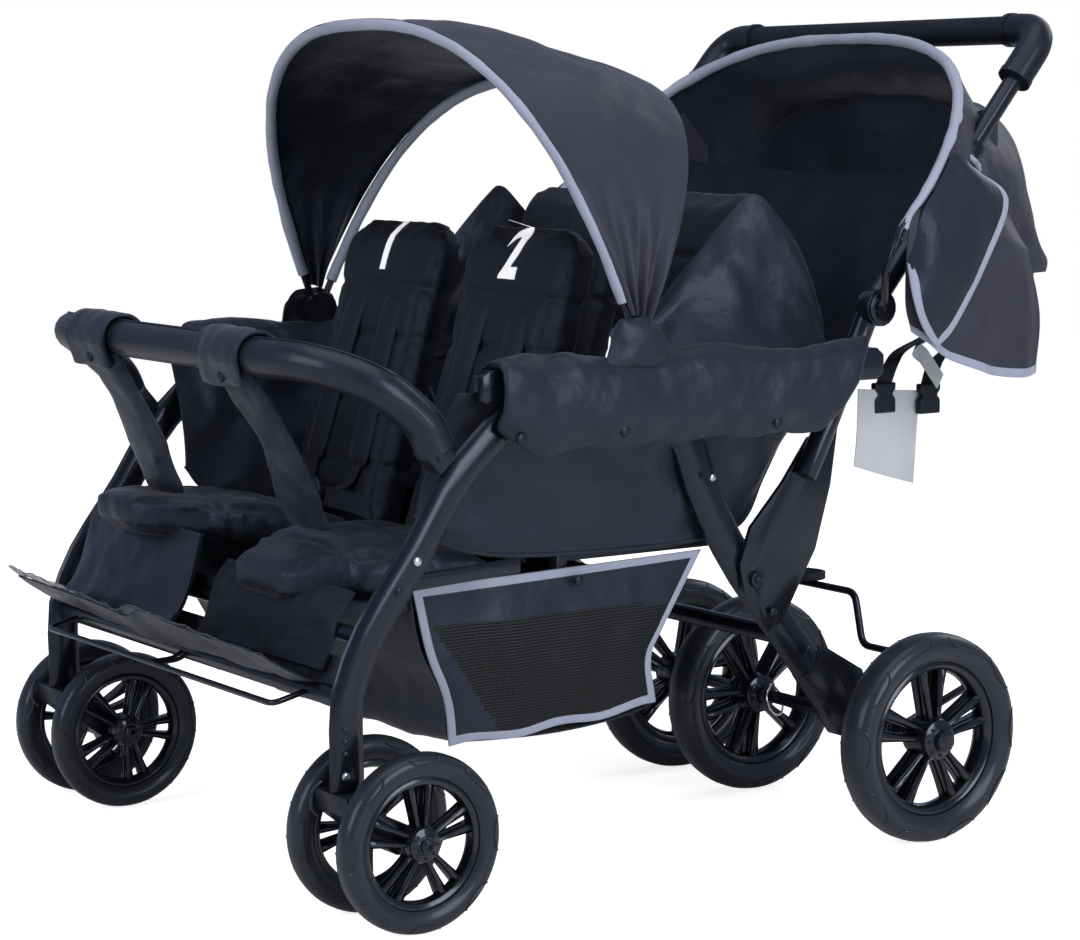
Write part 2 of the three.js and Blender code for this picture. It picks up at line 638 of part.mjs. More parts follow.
for (const [row, end] of rows.entries()) {
  for (const [side, sign] of sides) {
    const centre = sign * seatHalf;
    const pad = moulded(8, 10, 1, (u, v, w) => {
      const swell = crown(u, v, 4);
      const dip = channelShare * channel(v, padChannelShares, channelWidthShare * 2) * swell;
      const half = seatWidth / 2 * (1 - padDrawShare * (1 - (1 - (2 * v - 1) ** 4)) * 2 * (1 - w));
      const rise = padThickness * w * (padEdgeShare + (1 - padEdgeShare) * swell - dip);
      const x = centre + (2 * u - 1) * half;
      return new THREE.Vector3(x, mix(padFronts[row], padRears[row], v), rowTops[row] + gap + rise);
    });
    add(`${end}_seat_pad_${side}`, pad, navyCloth);

    const [hingeY, hingeZ] = hinges[row];
    const back = moulded(6, 16, 1, (u, v, w) => {
      const narrow = 1 - headShare * Math.max(0, (v - 0.6) / 0.4) ** 2.5;
      const swell = crown(u, v, 6);
      const dip = channelShare * channel(v, backChannelShares, channelWidthShare) * swell;
      const depth = backThickness * (backEdgeShare + (1 - backEdgeShare) * swell - dip);
      const x = centre + (2 * u - 1) * seatWidth / 2 * narrow;
      const y = backThickness / 2 - depth * (1 - w);
      return new THREE.Vector3(x, y, hingeRadius + gap + backHeight * v);
    });
    back.rotateX(-backLean);
    back.translate(0, hingeY, hingeZ);
    add(`${end}_seat_back_${side}`, closed(back), navyCloth);
  }
}

// Side bolsters: padded sleeves on the outside of the side rails, crowned, with drawn-in edges.
const bolsterThickness = 19;
const bolsterCornerShares = [[-0.238, 0.505], [0.285, 0.488], [-0.196, 0.582], [0.345, 0.583]];
const bolsterHemShare = 0.006; // rise and fall of the hem along its length
const bolsterEdgeShare = 0.4;
const bolsterInner = frameHalf + legThickness / 2 + gap;
for (const [side, sign] of sides) {
  const [lowFront, lowRear, highFront, highRear] = bolsterCornerShares.map(place);
  const bolster = moulded(12, 4, 1, (u, v, w) => {
    const y = mix(mix(lowFront[0], highFront[0], v), mix(lowRear[0], highRear[0], v), u);
    const wave = bolsterHemShare * frameHeight * Math.sin(u * 3 * Math.PI) * (1 - v);
    const z = mix(mix(lowFront[1], highFront[1], v), mix(lowRear[1], highRear[1], v), u) + wave;
    const depth = bolsterThickness * (bolsterEdgeShare + (1 - bolsterEdgeShare) * crown(u, v, 3));
    return new THREE.Vector3(sign * (bolsterInner + w * depth), y, z);
  });
  add(`side_bolster_${side}`, bolster, navyCloth);
}

// Side panels: cloth between the bolsters and the seat board.
const panelShares = [
  [-0.205, 0.476], [-0.223, 0.396], [-0.16, 0.35], [0.132, 0.352], [0.188, 0.388], [0.288, 0.474],
];
for (const [side, sign] of sides) {
  const inner = boardHalf + gap;
  const panel = profile(panelShares.map(place), sign * inner, sign * (inner + panelThickness));
  add(`side_panel_${side}`, panel, navyCloth);
}

// Basket: open at the top, below the seat board.
const basketWall = 4;
const basketShares = [
  [-0.24, 0.36], [0.15, 0.36], [0.105, 0.265], [0.091, 0.231], [0.116, 0.193],
  [0.098, 0.177], [-0.185, 0.162], [-0.191, 0.217], [-0.223, 0.276],
];
const basketMiddleShares = [-0.05, 0.255];
const basketInner = boardHalf + 2 * gap + panelThickness;
const basketOutline = basketShares.map(place);
const [basketY, basketZ] = place(basketMiddleShares);
const inset = (value, middle) => {
  const offset = value - middle;
  return middle + offset - Math.sign(offset) * Math.min(basketWall, Math.abs(offset) / 2);
};
const [, sky] = place([0, 1]);
const basketCavity = basketOutline.map(([y, z], i) => [inset(y, basketY), i < 2 ? sky / 2 : inset(z, basketZ)]);
const basketBody = profile(basketOutline, -basketInner - basketWall, basketInner + basketWall);
const cavity = profile(basketCavity, -basketInner, basketInner);
const endTop = boardBottom - runningGap;
const endCut = box(-basketInner, basketInner, -frameLength / 2, frameLength / 2, endTop, sky);
add('basket', cut(basketBody, cavity, endCut), navyCloth);

// Calf and foot sling, over the front cross tube, and the wire that holds its front edge.
const slingInset = 38; // sling's edge, inside the front legs
const slingHalf = legInner - slingInset;
const slingShares = [
  [-0.3405, 0.318], [-0.3405, 0.2745], [-0.362, 0.258], [-0.378, 0.2587], [-0.442, 0.296],
  [-0.444, 0.301], [-0.377, 0.2665], [-0.364, 0.2655], [-0.3455, 0.278], [-0.3455, 0.318],
];
add('foot_sling', profile(slingShares.map(place), -slingHalf, slingHalf), navyCloth);
const wireInset = 20;
const wireHalf = slingHalf - wireInset;
const wireFrontShares = [-0.412, 0.238];
const wireCorner = 12;
const [wireBackY, wireBackZ] = place(frontTubeShares);
const wireStart = (x) => new THREE.Vector3(x, wireBackY - crossTubeRadius - gap, wireBackZ);
add('foot_wire', sweep(rounded([
  wireStart(wireHalf),
  point(wireHalf, wireFrontShares),
  point(-wireHalf, wireFrontShares),
  wireStart(-wireHalf),
], wireCorner), wireRadius, wireRadius, 20, 6), black);

// Canopy hoops: arches that lean from a pivot, flattened a little at the sides.
const canopyHubRadius = 21.5;
const canopyPivotShares = [0.01, 0];
const [canopyPivotY] = place(canopyPivotShares);
const canopyPivot = [canopyPivotY, railTop + canopyHubRadius + gap];
const frontHoopOutset = 8;
const rearHoopInset = 3;
const hoodHoopOutset = 24;
const hoodOriginShares = [0.35, 0.685];
const hoodApexShares = [0.6023, 0.9556];
const hoodOrigin = place(hoodOriginShares);
const hoodApex = place(hoodApexShares);
const [hoodRun, hoodRise] = hoodApex.map((value, i) => value - hoodOrigin[i]);
const radians = Math.PI / 180;
const frontHoop = { half: frameHalf + frontHoopOutset, span: 381, lean: -21.9, power: 2.55 };
const rearHoop = { half: frameHalf - rearHoopInset, span: 329, lean: 25.5, power: 2.95 };
const hoodHoop = {
  half: frameHalf + hoodHoopOutset,
  span: Math.hypot(hoodRun, hoodRise),
  lean: Math.atan2(hoodRun, hoodRise) / radians,
  power: 2.65,
};

// Point on an arch. The turn runs from 0 at the left foot to 1 at the right foot.
function archPoint([y, z], { half, span, lean, power }, turn) {
  const ease = (share) => 0.5 * (2 * share) ** (power / 2);
  const angle = Math.PI * (turn < 0.5 ? ease(turn) : 1 - ease(1 - turn));
  const side = Math.cos(angle);
  const x = half * Math.sign(side) * Math.abs(side) ** (2 / power);
  const reach = span * Math.abs(Math.sin(angle)) ** (2 / power);
  return new THREE.Vector3(x, y + reach * Math.sin(lean * radians), z + reach * Math.cos(lean * radians));
}

const archSteps = 14;
const hoopSteps = 25;
const archCurve = (origin, arch, start) => Array.from({ length: archSteps + 1 }, (_, i) => (
  archPoint(origin, arch, mix(start, 1 - start, i / archSteps))));

const canopyHubHalf = 5.5;
const hoopPinLength = 12;
const hoopDiscRadius = 14;
const hoopDiscHalf = 4.5;
let rearArch = sweep(smooth(archCurve(canopyPivot, rearHoop, 0)), hoopRadius, hoopRadius, hoopSteps, 6);
let frontArch = sweep(smooth(archCurve(canopyPivot, frontHoop, 0)), hoopRadius, hoopRadius, hoopSteps, 6);
for (const [, sign] of sides) {
  const hubX = [legInner, legInner + 2 * canopyHubHalf].map((x) => sign * x);
  const discX = [frontHoop.half - hoopDiscHalf, frontHoop.half + hoopDiscHalf].map((x) => sign * x);
  const hub = rodAcross(canopyPivot, canopyHubRadius, ...hubX, 16);
  const pin = rodAcross(canopyPivot, hoopPinRadius, hubX[0], sign * (frontHoop.half + hoopPinLength / 2));
  rearArch = join(rearArch, hub, pin);
  frontArch = join(frontArch, rodAcross(canopyPivot, hoopDiscRadius, ...discX, 12));
  const hole = rodAcross(canopyPivot, bore(hoopPinRadius, 12), discX[0] - sign * overrun, discX[1] + sign * overrun);
  frontArch = cut(frontArch, hole);
}
add('front_canopy_rear_hoop', rearArch, black);
add('front_canopy_front_hoop', frontArch, black);

// Hood hoop: from a disc beside each handle knob, out and up into its arch.
const hoodStart = 0.02;
const hoodMiddle = archCurve(hoodOrigin, hoodHoop, hoodStart);
const hoodFoot = (sign) => new THREE.Vector3(sign * (knobOuter + gap + hoopDiscThickness / 2), ...knob);
let hoodArch = sweep(smooth([hoodFoot(1), ...hoodMiddle, hoodFoot(-1)]), hoopRadius, hoopRadius, hoopSteps, 6);
for (const [, sign] of sides) {
  const start = knobOuter + gap;
  hoodArch = join(hoodArch, rodAcross(knob, hoopDiscRadius, sign * start, sign * (start + hoopDiscThickness), 12));
  const hole = rodAcross(knob, bore(hoopPinRadius, 12), sign * (start - overrun), sign * (start + hoopDiscThickness + overrun));
  hoodArch = cut(hoodArch, hole);
}
add('rear_canopy_hoop', hoodArch, black);

// Front canopy: one curved sheet over both hoops, sagging a little between them.
const canopyOffset = hoopRadius + runningGap; // hoop centre to the sheet's inner face
const canopyStart = 0.032;
const canopySag = 7;
const between = (a, b, t) => Object.fromEntries(Object.keys(a).map((key) => [key, mix(a[key], b[key], t)]));
add('front_canopy', moulded(22, 4, 1, (u, v, w) => {
  const arch = between(frontHoop, rearHoop, v);
  const outwards = canopyOffset + w * clothThickness;
  const sag = canopySag * Math.sin(Math.PI * v) * Math.sin(Math.PI * u) ** 2;
  const sheet = { ...arch, half: frontHoop.half + outwards, span: arch.span + outwards - sag };
  return archPoint(canopyPivot, sheet, mix(canopyStart, 1 - canopyStart, u));
}), navyCloth);

// Rear canopy: a roof between the handle tubes that drops behind them, and a flap outside each tube.
const roofInset = 26;
const roofHalf = handleHalf - roofInset;
const roofClearance = 9.2; // hoop's centre to the roof's inner face
const roofShares = [[0.655, 0.931], [0.706, 0.86], [0.737, 0.74], [0.739, 0.655]];
const [roofFrontY, roofFrontZ] = hoodApex.map((value, i) => (
  value + roofClearance * [hoodRun, hoodRise][i] / hoodHoop.span));
const roofFront = new THREE.Vector3(0, roofFrontY, roofFrontZ);
const roofCurve = smooth([roofFront, ...roofShares.map((shares) => point(0, shares))]);
const hoodSpan = hoodHoop.span + canopyOffset;
const roofFold = 8; // depth of the folds in the part that hangs
const roofFoldCount = 3;
function hoodDrop(x) {
  const share = 1 - (1 - Math.abs(x / hoodHoop.half) ** hoodHoop.power) ** (1 / hoodHoop.power);
  return hoodSpan * share;
}
add('rear_canopy', moulded(10, 8, 1, (u, v, w) => {
  const x = roofHalf * (1 - 2 * u);
  const centre = roofCurve.getPoint(v);
  const tangent = roofCurve.getTangent(v);
  const drop = hoodDrop(x) * (1 - v) ** 2;
  const lean = hoodHoop.lean * radians;
  const fold = roofFold * v * Math.sin(u * roofFoldCount * 2 * Math.PI);
  const outwards = w * clothThickness;
  const y = centre.y - drop * Math.sin(lean) - tangent.z * outwards + fold;
  const z = centre.z - drop * Math.cos(lean) + tangent.y * outwards;
  return new THREE.Vector3(x, y, z);
}), navyCloth);

const flapStarts = [0.02, 0.205]; // turns along the hoop where the flap's front edge starts and ends
const flapRearShares = [[0.64, 0.54], [0.612, 0.8]];
const flapRearOutset = 30;
const flapRearHalf = handleHalf + flapRearOutset;
const flapFold = 5;
const [flapFoot, flapHead] = flapRearShares.map(place);
for (const [side, sign] of sides) {
  add(`rear_canopy_flap_${side}`, moulded(6, 6, 1, (u, v, w) => {
    const turn = mix(flapStarts[0], flapStarts[1], u);
    const arch = { ...hoodHoop, half: hoodHoop.half + canopyOffset, span: hoodSpan };
    const front = archPoint(hoodOrigin, arch, turn);
    const fold = flapFold * Math.sin(v * 2 * Math.PI) * (1 - u);
    const x = mix(front.x, flapRearHalf, v) + fold + w * clothThickness;
    const y = mix(front.y, mix(flapFoot[0], flapHead[0], u), v);
    const z = mix(front.z, mix(flapFoot[1], flapHead[1], u), v);
    return new THREE.Vector3(sign * x, y, z);
  }), navyCloth);
}

// The origin is on the floor, under the middle of the whole stroller.
const bounds = new THREE.Box3().setFromObject(group);
group.position.y = -(bounds.min.y + bounds.max.y) / 2;

export default group;
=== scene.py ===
import json
import math
import bmesh
import bpy
from mathutils import Matrix, Vector, noise

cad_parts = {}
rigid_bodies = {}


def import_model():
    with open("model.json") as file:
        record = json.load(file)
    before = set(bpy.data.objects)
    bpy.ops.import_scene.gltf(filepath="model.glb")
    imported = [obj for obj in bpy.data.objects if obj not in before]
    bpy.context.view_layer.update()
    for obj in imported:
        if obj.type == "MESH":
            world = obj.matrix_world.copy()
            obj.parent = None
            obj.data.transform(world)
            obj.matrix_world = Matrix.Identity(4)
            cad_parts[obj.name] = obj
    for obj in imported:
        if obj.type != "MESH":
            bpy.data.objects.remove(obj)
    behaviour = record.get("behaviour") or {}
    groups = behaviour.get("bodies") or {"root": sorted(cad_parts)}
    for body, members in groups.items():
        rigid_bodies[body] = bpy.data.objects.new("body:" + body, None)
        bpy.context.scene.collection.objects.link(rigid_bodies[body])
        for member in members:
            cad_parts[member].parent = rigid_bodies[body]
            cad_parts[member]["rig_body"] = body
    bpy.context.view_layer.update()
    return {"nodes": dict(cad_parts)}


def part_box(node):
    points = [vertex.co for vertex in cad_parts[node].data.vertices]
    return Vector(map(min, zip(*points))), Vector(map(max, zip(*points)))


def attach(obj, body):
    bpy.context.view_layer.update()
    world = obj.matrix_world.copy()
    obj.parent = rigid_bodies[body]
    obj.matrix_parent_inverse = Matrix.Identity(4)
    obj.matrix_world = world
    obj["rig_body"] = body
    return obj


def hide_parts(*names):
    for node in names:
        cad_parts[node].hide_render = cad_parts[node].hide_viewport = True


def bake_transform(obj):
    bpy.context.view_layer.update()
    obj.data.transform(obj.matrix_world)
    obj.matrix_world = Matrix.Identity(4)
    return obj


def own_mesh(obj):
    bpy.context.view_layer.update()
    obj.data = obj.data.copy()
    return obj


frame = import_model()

# Places are written in millimetres: x across, y from a line 400 mm ahead of the rear axle, z up.
REAR_AXLE_Y, REAR_RADIUS = 400, 125
FRONT_AXLE_Y, FRONT_RADIUS = -305, 97
axle_low, axle_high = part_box("rear_axle")
line_y = (axle_low.y + axle_high.y) / 2 - REAR_AXLE_Y / 1000
SIDES = (("left", 1), ("right", -1))


def at(x, y, z):
    """A place in metres, from millimetres."""
    return Vector((x / 1000, y / 1000 + line_y, z / 1000))


def linked(name, data):
    """A new object in the scene."""
    piece = bpy.data.objects.new(name, data)
    bpy.context.scene.collection.objects.link(piece)
    return piece


# Camera and lamps
LENS_MM, SENSOR_MM = 94.78, 36
CAMERA_DOWN, CAMERA_TURN = 7.009, 55.3
camera_data = bpy.data.cameras.new("camera")
camera_data.lens = LENS_MM
camera_data.sensor_width = SENSOR_MM
camera = linked("camera", camera_data)
camera.location = at(2864, -1860, 850)
camera.rotation_euler = (math.radians(90 - CAMERA_DOWN), 0, math.radians(CAMERA_TURN))
bpy.context.scene.camera = camera
bpy.context.scene.view_settings.view_transform = "Standard"


def softbox(name, place, target, size, watts):
    """A rectangular lamp that looks at a target. Places and size are in metres."""
    lamp = bpy.data.lights.new(name, "AREA")
    lamp.shape = "RECTANGLE"
    lamp.size, lamp.size_y = size
    lamp.energy = watts
    holder = linked(name, lamp)
    holder.location = place
    holder.rotation_euler = (Vector(target) - Vector(place)).to_track_quat("-Z", "Y").to_euler()


softbox("overhead_softbox", (0.6, -0.4, 3.4), (0, 0, 0.4), (3.0, 3.0), 44)
softbox("near_side_softbox", (3.6, 0.4, 1.7), (0, 0, 0.5), (1.8, 2.2), 78)
softbox("front_softbox", (0.4, -3.8, 1.9), (0, 0, 0.5), (2.2, 2.0), 56)
softbox("rear_softbox", (-0.6, 3.6, 2.3), (0, 0, 0.6), (2.4, 1.8), 24)

# Material helpers
REFLECTED_TINT = "d2dcff"
SPECULAR_LEVEL = 0.32


def colour(code):
    """An sRGB hex colour as linear values."""
    parts = [int(code[i:i + 2], 16) / 255 for i in (0, 2, 4)]
    return [p / 12.92 if p <= 0.04045 else ((p + 0.055) / 1.055) ** 2.4 for p in parts] + [1]


def add_node(tree, kind, settings=(), links=()):
    """Adds a node. A setting is a property's name, or an input's name or number, with its value."""
    new = tree.nodes.new(kind)
    for key, value in dict(settings).items():
        if isinstance(key, str) and hasattr(new, key):
            setattr(new, key, value)
        else:
            new.inputs[key].default_value = value
    for key, socket in dict(links).items():
        tree.links.new(socket, new.inputs[key])
    return new


def new_material(name, **settings):
    """A named material with its shader's own values set. Gives the tree, shader and coordinates."""
    made = bpy.data.materials.new(name)
    made.use_nodes = True
    tree = made.node_tree
    shader = tree.nodes["Principled BSDF"]
    for key, value in settings.items():
        shader.inputs[key.replace("_", " ")].default_value = value
    place = add_node(tree, "ShaderNodeTexCoord")
    return made, tree, shader, place


def cloud(tree, place, **settings):
    """Noise on the object's own coordinates."""
    return add_node(tree, "ShaderNodeTexNoise", settings, {"Vector": place.outputs["Object"]})


def mottle(tree, shader, place, low, high, scale, detail=4):
    """Colour that wanders between two near shades, as dyed or moulded stock does."""
    patches = cloud(tree, place, Scale=scale, Detail=detail)
    ramp = add_node(tree, "ShaderNodeValToRGB", {}, {"Fac": patches.outputs["Fac"]})
    for stop, position, shade in zip(ramp.color_ramp.elements, (0.3, 0.7), (low, high)):
        stop.position = position
        stop.color = colour(shade)
    tree.links.new(ramp.outputs["Color"], shader.inputs["Base Color"])


def raise_bump(tree, shader, height, strength, distance, under=None):
    """Adds a bump layer, over another one where it is given."""
    links = {"Height": height}
    if under is not None:
        links["Normal"] = under.outputs["Normal"]
    bump = add_node(tree, "ShaderNodeBump", {"Strength": strength, "Distance": distance}, links)
    tree.links.new(bump.outputs["Normal"], shader.inputs["Normal"])
    return bump


def woven(name, low, high, roughness, thread_mm, crinkle, sheen, crinkle_scale):
    """Plain-woven cloth: threads on Object coordinates, soft crinkles, and a tone that wanders apart from
    them.
    """
    made, tree, shader, place = new_material(
        name, Roughness=roughness, Sheen_Weight=sheen * 0.3, Sheen_Roughness=0.4,
        Specular_IOR_Level=SPECULAR_LEVEL, Specular_Tint=colour(REFLECTED_TINT))
    mottle(tree, shader, place, low, high, 7, 6)
    lift = None
    for turn in ((0, 0, 0), (0, 0, math.pi / 2), (0, math.pi / 2, 0)):
        turned = add_node(tree, "ShaderNodeMapping", {"Rotation": turn},
                          {"Vector": place.outputs["Object"]})
        threads = add_node(tree, "ShaderNodeTexWave",
                           {"Scale": 1000 / (thread_mm * 20 / math.pi), "Distortion": 0.6, "Detail": 1},
                           {"Vector": turned.outputs["Vector"]})
        lift = raise_bump(tree, shader, threads.outputs["Fac"], 0.10, thread_mm / 4000, lift)
    folds = cloud(tree, place, Scale=crinkle_scale, Detail=3, Roughness=0.5, Distortion=0.25)
    raise_bump(tree, shader, folds.outputs["Fac"], crinkle, 0.012, lift)
    return made


# Woven polyester, 0.6 mm threads drawn at 1.6 mm so that they show: dark navy, a low sheen, crinkles.
polyester = woven("polyester_weave", "1c1e27", "22242e", 0.42, 1.6, 0.38, 0.30, 17)
# The same cloth inside the hoods, flatter, and painted a lighter, warmer grey than the outside as painted
# light in the shaded hoods.
lining = woven("lining_painted_lighter", "2c2b34", "37363f", 0.55, 1.6, 0.55, 0.15, 12)
# Coated backing behind the rear seats: matt, and painted near black as the shade under the hood.
backing = woven("coated_backing_painted_shade", "050507", "08080b", 0.70, 1.6, 0.40, 0.0, 12)
# Brushed seat cloth over wadding: near black, matt, with a stronger crinkle.
seat_cloth = woven("seat_polyester", "0f1014", "17181d", 0.60, 1.6, 0.55, 0.30, 14)
# Twill ribbon folded round the hems: pale lavender grey, with a dull shine.
ribbon = woven("ribbon_binding", "8f94a6", "9ea3b5", 0.55, 1.2, 0.12, 0.30, 40)
# Nylon webbing: black, with coarse ribs.
webbing = woven("nylon_webbing", "0f1013", "17181c", 0.68, 2.4, 0.10, 0.25, 30)
# Pale grey non-woven cloth of the tie-on cover, and the white strap.
pale_cloth = woven("nonwoven_cloth", "b9bcc2", "c6c9ce", 0.80, 2.0, 0.25, 0.20, 30)


def coated(name, low, high, roughness, coat, grain_mm, grain, ior=1.5, **more):
    """Painted or moulded stock: near-even colour, a fine grain and rubbed, smoother patches."""
    made, tree, shader, place = new_material(
        name, IOR=ior, Roughness=roughness, Coat_Weight=coat, Coat_Roughness=0.12,
        Specular_IOR_Level=SPECULAR_LEVEL, Specular_Tint=colour(REFLECTED_TINT), **more)
    mottle(tree, shader, place, low, high, 14)
    rubbed = cloud(tree, place, Scale=30, Detail=3)
    spread = add_node(tree, "ShaderNodeMapRange",
                      {"To Min": roughness - 0.05, "To Max": roughness + 0.07},
                      {"Value": rubbed.outputs["Fac"]})
    tree.links.new(spread.outputs["Result"], shader.inputs["Roughness"])
    speck = cloud(tree, place, Scale=1000 / grain_mm, Detail=2)
    raise_bump(tree, shader, speck.outputs["Fac"], grain, grain_mm / 3000)
    return made


# Powder coat on steel tube: blue-black, satin, with a fine orange peel of about 1.5 mm.
powder_coat = coated("powder_coated_steel", "0f1015", "15161c", 0.26, 0.20, 1.5, 0.16)
# Glass-filled nylon, moulded: satin black, with a spark-eroded grain of about 1 mm.
nylon = coated("moulded_nylon", "101115", "16171c", 0.42, 0.10, 1.0, 0.22)
# Gloss-moulded ABS of the wheel rims: black, with soft reflections.
gloss_abs = coated("gloss_moulded_abs", "0e0f12", "141519", 0.22, 0.45, 2.5, 0.05)
# Solid polyurethane tyre: dark grey-blue, a satin skin with a waxy shine.
tyre_skin = coated("polyurethane_tyre", "1d1e23", "25262b", 0.40, 0.20, 1.8, 0.10, 1.48)
# Closed-cell foam of the hand grip: matt black, with pores of about 1.2 mm.
grip_foam = coated("closed_cell_foam", "0f1014", "17181c", 0.62, 0.0, 1.2, 0.30)
# Vinyl with a pressed leather grain of about 1.8 mm: black, satin.
vinyl = coated("grained_vinyl", "131419", "1b1c22", 0.40, 0.15, 1.8, 0.45)
# Ribbed rubber of the brake pad: black, dull.
pad_rubber = coated("pedal_rubber", "17171a", "1f1f22", 0.66, 0.0, 1.5, 0.20)
# White print on the seat heads: a matt screen ink, with a painted glow that makes it read brighter than the
# light on it.
ink_with_painted_glow = coated("screen_ink_painted_glow", "f4f5f7", "fcfcfd", 0.60, 0.0, 1.0, 0.15,
             Emission_Color=colour("ffffff"), Emission_Strength=0.35)


def bright_metal(name, low, high, roughness, scale):
    """Plated steel: metallic, with faint tumbling marks."""
    made, tree, shader, place = new_material(name, Metallic=1.0, Roughness=roughness)
    mottle(tree, shader, place, low, high, scale)
    return made


# Zinc-plated rivets and nickel-plated springs: bright grey, tight highlights.
zinc = bright_metal("zinc_plate", "9fa2a8", "c2c5ca", 0.30, 60)
nickel = bright_metal("nickel_plate", "b4b6ba", "d8dadd", 0.14, 80)


def netting():
    """Warp-knitted netting of the basket: black threads round 1.5 mm holes, drawn at 2.8 mm."""
    made, tree, shader, place = new_material("knitted_netting", Roughness=0.7, Base_Color=colour("07080c"))
    flat = add_node(tree, "ShaderNodeMapping", {"Scale": (0, 1, 0.8)},
                    {"Vector": place.outputs["Object"]})
    cells = add_node(tree, "ShaderNodeTexVoronoi",
                     {"Scale": 360, "Randomness": 0.2, "feature": "DISTANCE_TO_EDGE"},
                     {"Vector": flat.outputs["Vector"]})
    thread = add_node(tree, "ShaderNodeMath", {"operation": "LESS_THAN", 1: 0.22},
                      {0: cells.outputs["Distance"]})
    tree.links.new(thread.outputs["Value"], shader.inputs["Alpha"])
    return made


def clear_sheet():
    """Clear vinyl of the foot cover: thin, glossy and crinkled."""
    made, tree, shader, place = new_material(
        "clear_vinyl", Roughness=0.12, IOR=1.52, Coat_Weight=0.6, Coat_Roughness=0.06,
        Base_Color=colour("4c4f5a"), Alpha=0.72)
    folds = cloud(tree, place, Scale=55, Detail=6, Roughness=0.65, Distortion=1.6)
    raise_bump(tree, shader, folds.outputs["Fac"], 1.0, 0.010)
    return made


net = netting()
clear_vinyl = clear_sheet()


# Backdrop
def studio_white():
    """White paper: the camera sees plain white, and the lamps still draw a shadow."""
    made = bpy.data.materials.new("studio_paper")
    made.use_nodes = True
    tree = made.node_tree
    tree.nodes.clear()
    paper = add_node(tree, "ShaderNodeBsdfDiffuse", {"Color": colour("fafafb")})
    path = add_node(tree, "ShaderNodeLightPath")
    lift = add_node(tree, "ShaderNodeMath", {"operation": "MULTIPLY", 1: 0.80},
                    {0: path.outputs["Is Camera Ray"]})
    glow = add_node(tree, "ShaderNodeEmission", {"Color": colour("ffffff")},
                    {"Strength": lift.outputs["Value"]})
    both = add_node(tree, "ShaderNodeAddShader", {}, {0: paper.outputs["BSDF"], 1: glow.outputs["Emission"]})
    result = add_node(tree, "ShaderNodeOutputMaterial")
    tree.links.new(both.outputs["Shader"], result.inputs["Surface"])
    return made


def seen_world():
    """Soft light, a dimmer blue-grey in reflections, and white where the camera looks past the object."""
    world = bpy.data.worlds.new("studio")
    bpy.context.scene.world = world
    world.use_nodes = True
    tree = world.node_tree
    tree.nodes.clear()
    path = add_node(tree, "ShaderNodeLightPath")
    seen = add_node(tree, "ShaderNodeMath", {"operation": "MAXIMUM"},
                    {0: path.outputs["Is Camera Ray"], 1: path.outputs["Is Transmission Ray"]})
    soft = add_node(tree, "ShaderNodeBackground", {"Color": colour("e9eeff"), "Strength": 0.24})
    white = add_node(tree, "ShaderNodeBackground", {"Color": colour("ffffff"), "Strength": 1.0})
    reflected = add_node(tree, "ShaderNodeBackground", {"Color": colour("c6d2ff"), "Strength": 0.42})
    lit = add_node(tree, "ShaderNodeMixShader", {}, {
        0: path.outputs["Is Glossy Ray"], 1: soft.outputs["Background"], 2: reflected.outputs["Background"]})
    both = add_node(tree, "ShaderNodeMixShader", {}, {
        0: seen.outputs["Value"], 1: lit.outputs["Shader"], 2: white.outputs["Background"]})
    result = add_node(tree, "ShaderNodeOutputWorld")
    tree.links.new(both.outputs["Shader"], result.inputs["Surface"])


seen_world()
bpy.ops.object.select_all(action="DESELECT")
bpy.ops.mesh.primitive_plane_add(size=12, location=(0, 0, 0))
floor = bpy.context.active_object
floor.name = "studio_floor"
floor.data.materials.append(studio_white())


# Modelling helpers
def mix(a, b, t):
    return a + (b - a) * t


def deselect():
    if bpy.context.object is not None and bpy.context.object.mode != "OBJECT":
        bpy.ops.object.mode_set(mode="OBJECT")
    bpy.ops.object.select_all(action="DESELECT")


def edit_all():
    """Edit mode on the active piece, with all of it selected."""
    bpy.ops.object.mode_set(mode="EDIT")
    bpy.ops.mesh.select_all(action="SELECT")


def only(piece):
    deselect()
    piece.select_set(True)
    bpy.context.view_layer.objects.active = piece
    return piece


def apply(piece, kind, **settings):
    """Adds a modifier and applies it."""
    only(piece)
    modifier = piece.modifiers.new(kind, kind)
    for key, value in settings.items():
        setattr(modifier, key, value)
    bpy.ops.object.modifier_apply(modifier=modifier.name)
    return piece


def finish(piece, material, body, angle=40):
    """Gives a named piece its material, puts its place in its mesh and sets it on its body."""
    only(piece)
    piece.data.name = piece.name
    if material is not None:
        piece.data.materials.clear()
        piece.data.materials.append(material)
    bpy.ops.object.transform_apply(location=True, rotation=True, scale=True)
    bpy.ops.object.shade_smooth_by_angle(angle=math.radians(angle))
    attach(piece, body)
    return piece


def smooth(piece, levels=1):
    return apply(piece, "SUBSURF", levels=levels, render_levels=levels)


def rounded(piece, width, angle=None, **more):
    """Bevels the edges, width in millimetres: all of them, or those sharper than an angle."""
    if angle is not None:
        more.update(limit_method="ANGLE", angle_limit=math.radians(angle))
    return apply(piece, "BEVEL", width=width / 1000, **more)


def outwards(piece):
    """Doubles merged and faces turned outwards."""
    only(piece)
    edit_all()
    bpy.ops.mesh.remove_doubles(threshold=0.00002)
    bpy.ops.mesh.normals_make_consistent(inside=False)
    bpy.ops.object.mode_set(mode="OBJECT")
    return piece


def twin(piece, name, move, body, turn=0.0):
    """A copy of a finished piece with its own mesh, moved across and turned about X."""
    copy = linked(name, piece.data.copy())
    centre, offset = move
    copy.data.transform(Matrix.Translation(offset) @ Matrix.Translation(centre)
                        @ Matrix.Rotation(turn, 4, "X") @ Matrix.Translation(-centre))
    copy.data.name = name
    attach(copy, body)
    return copy


def handed(place, sign):
    """A place on the left, or its mirror place on the right."""
    return Vector((sign * place.x, place.y, place.z))


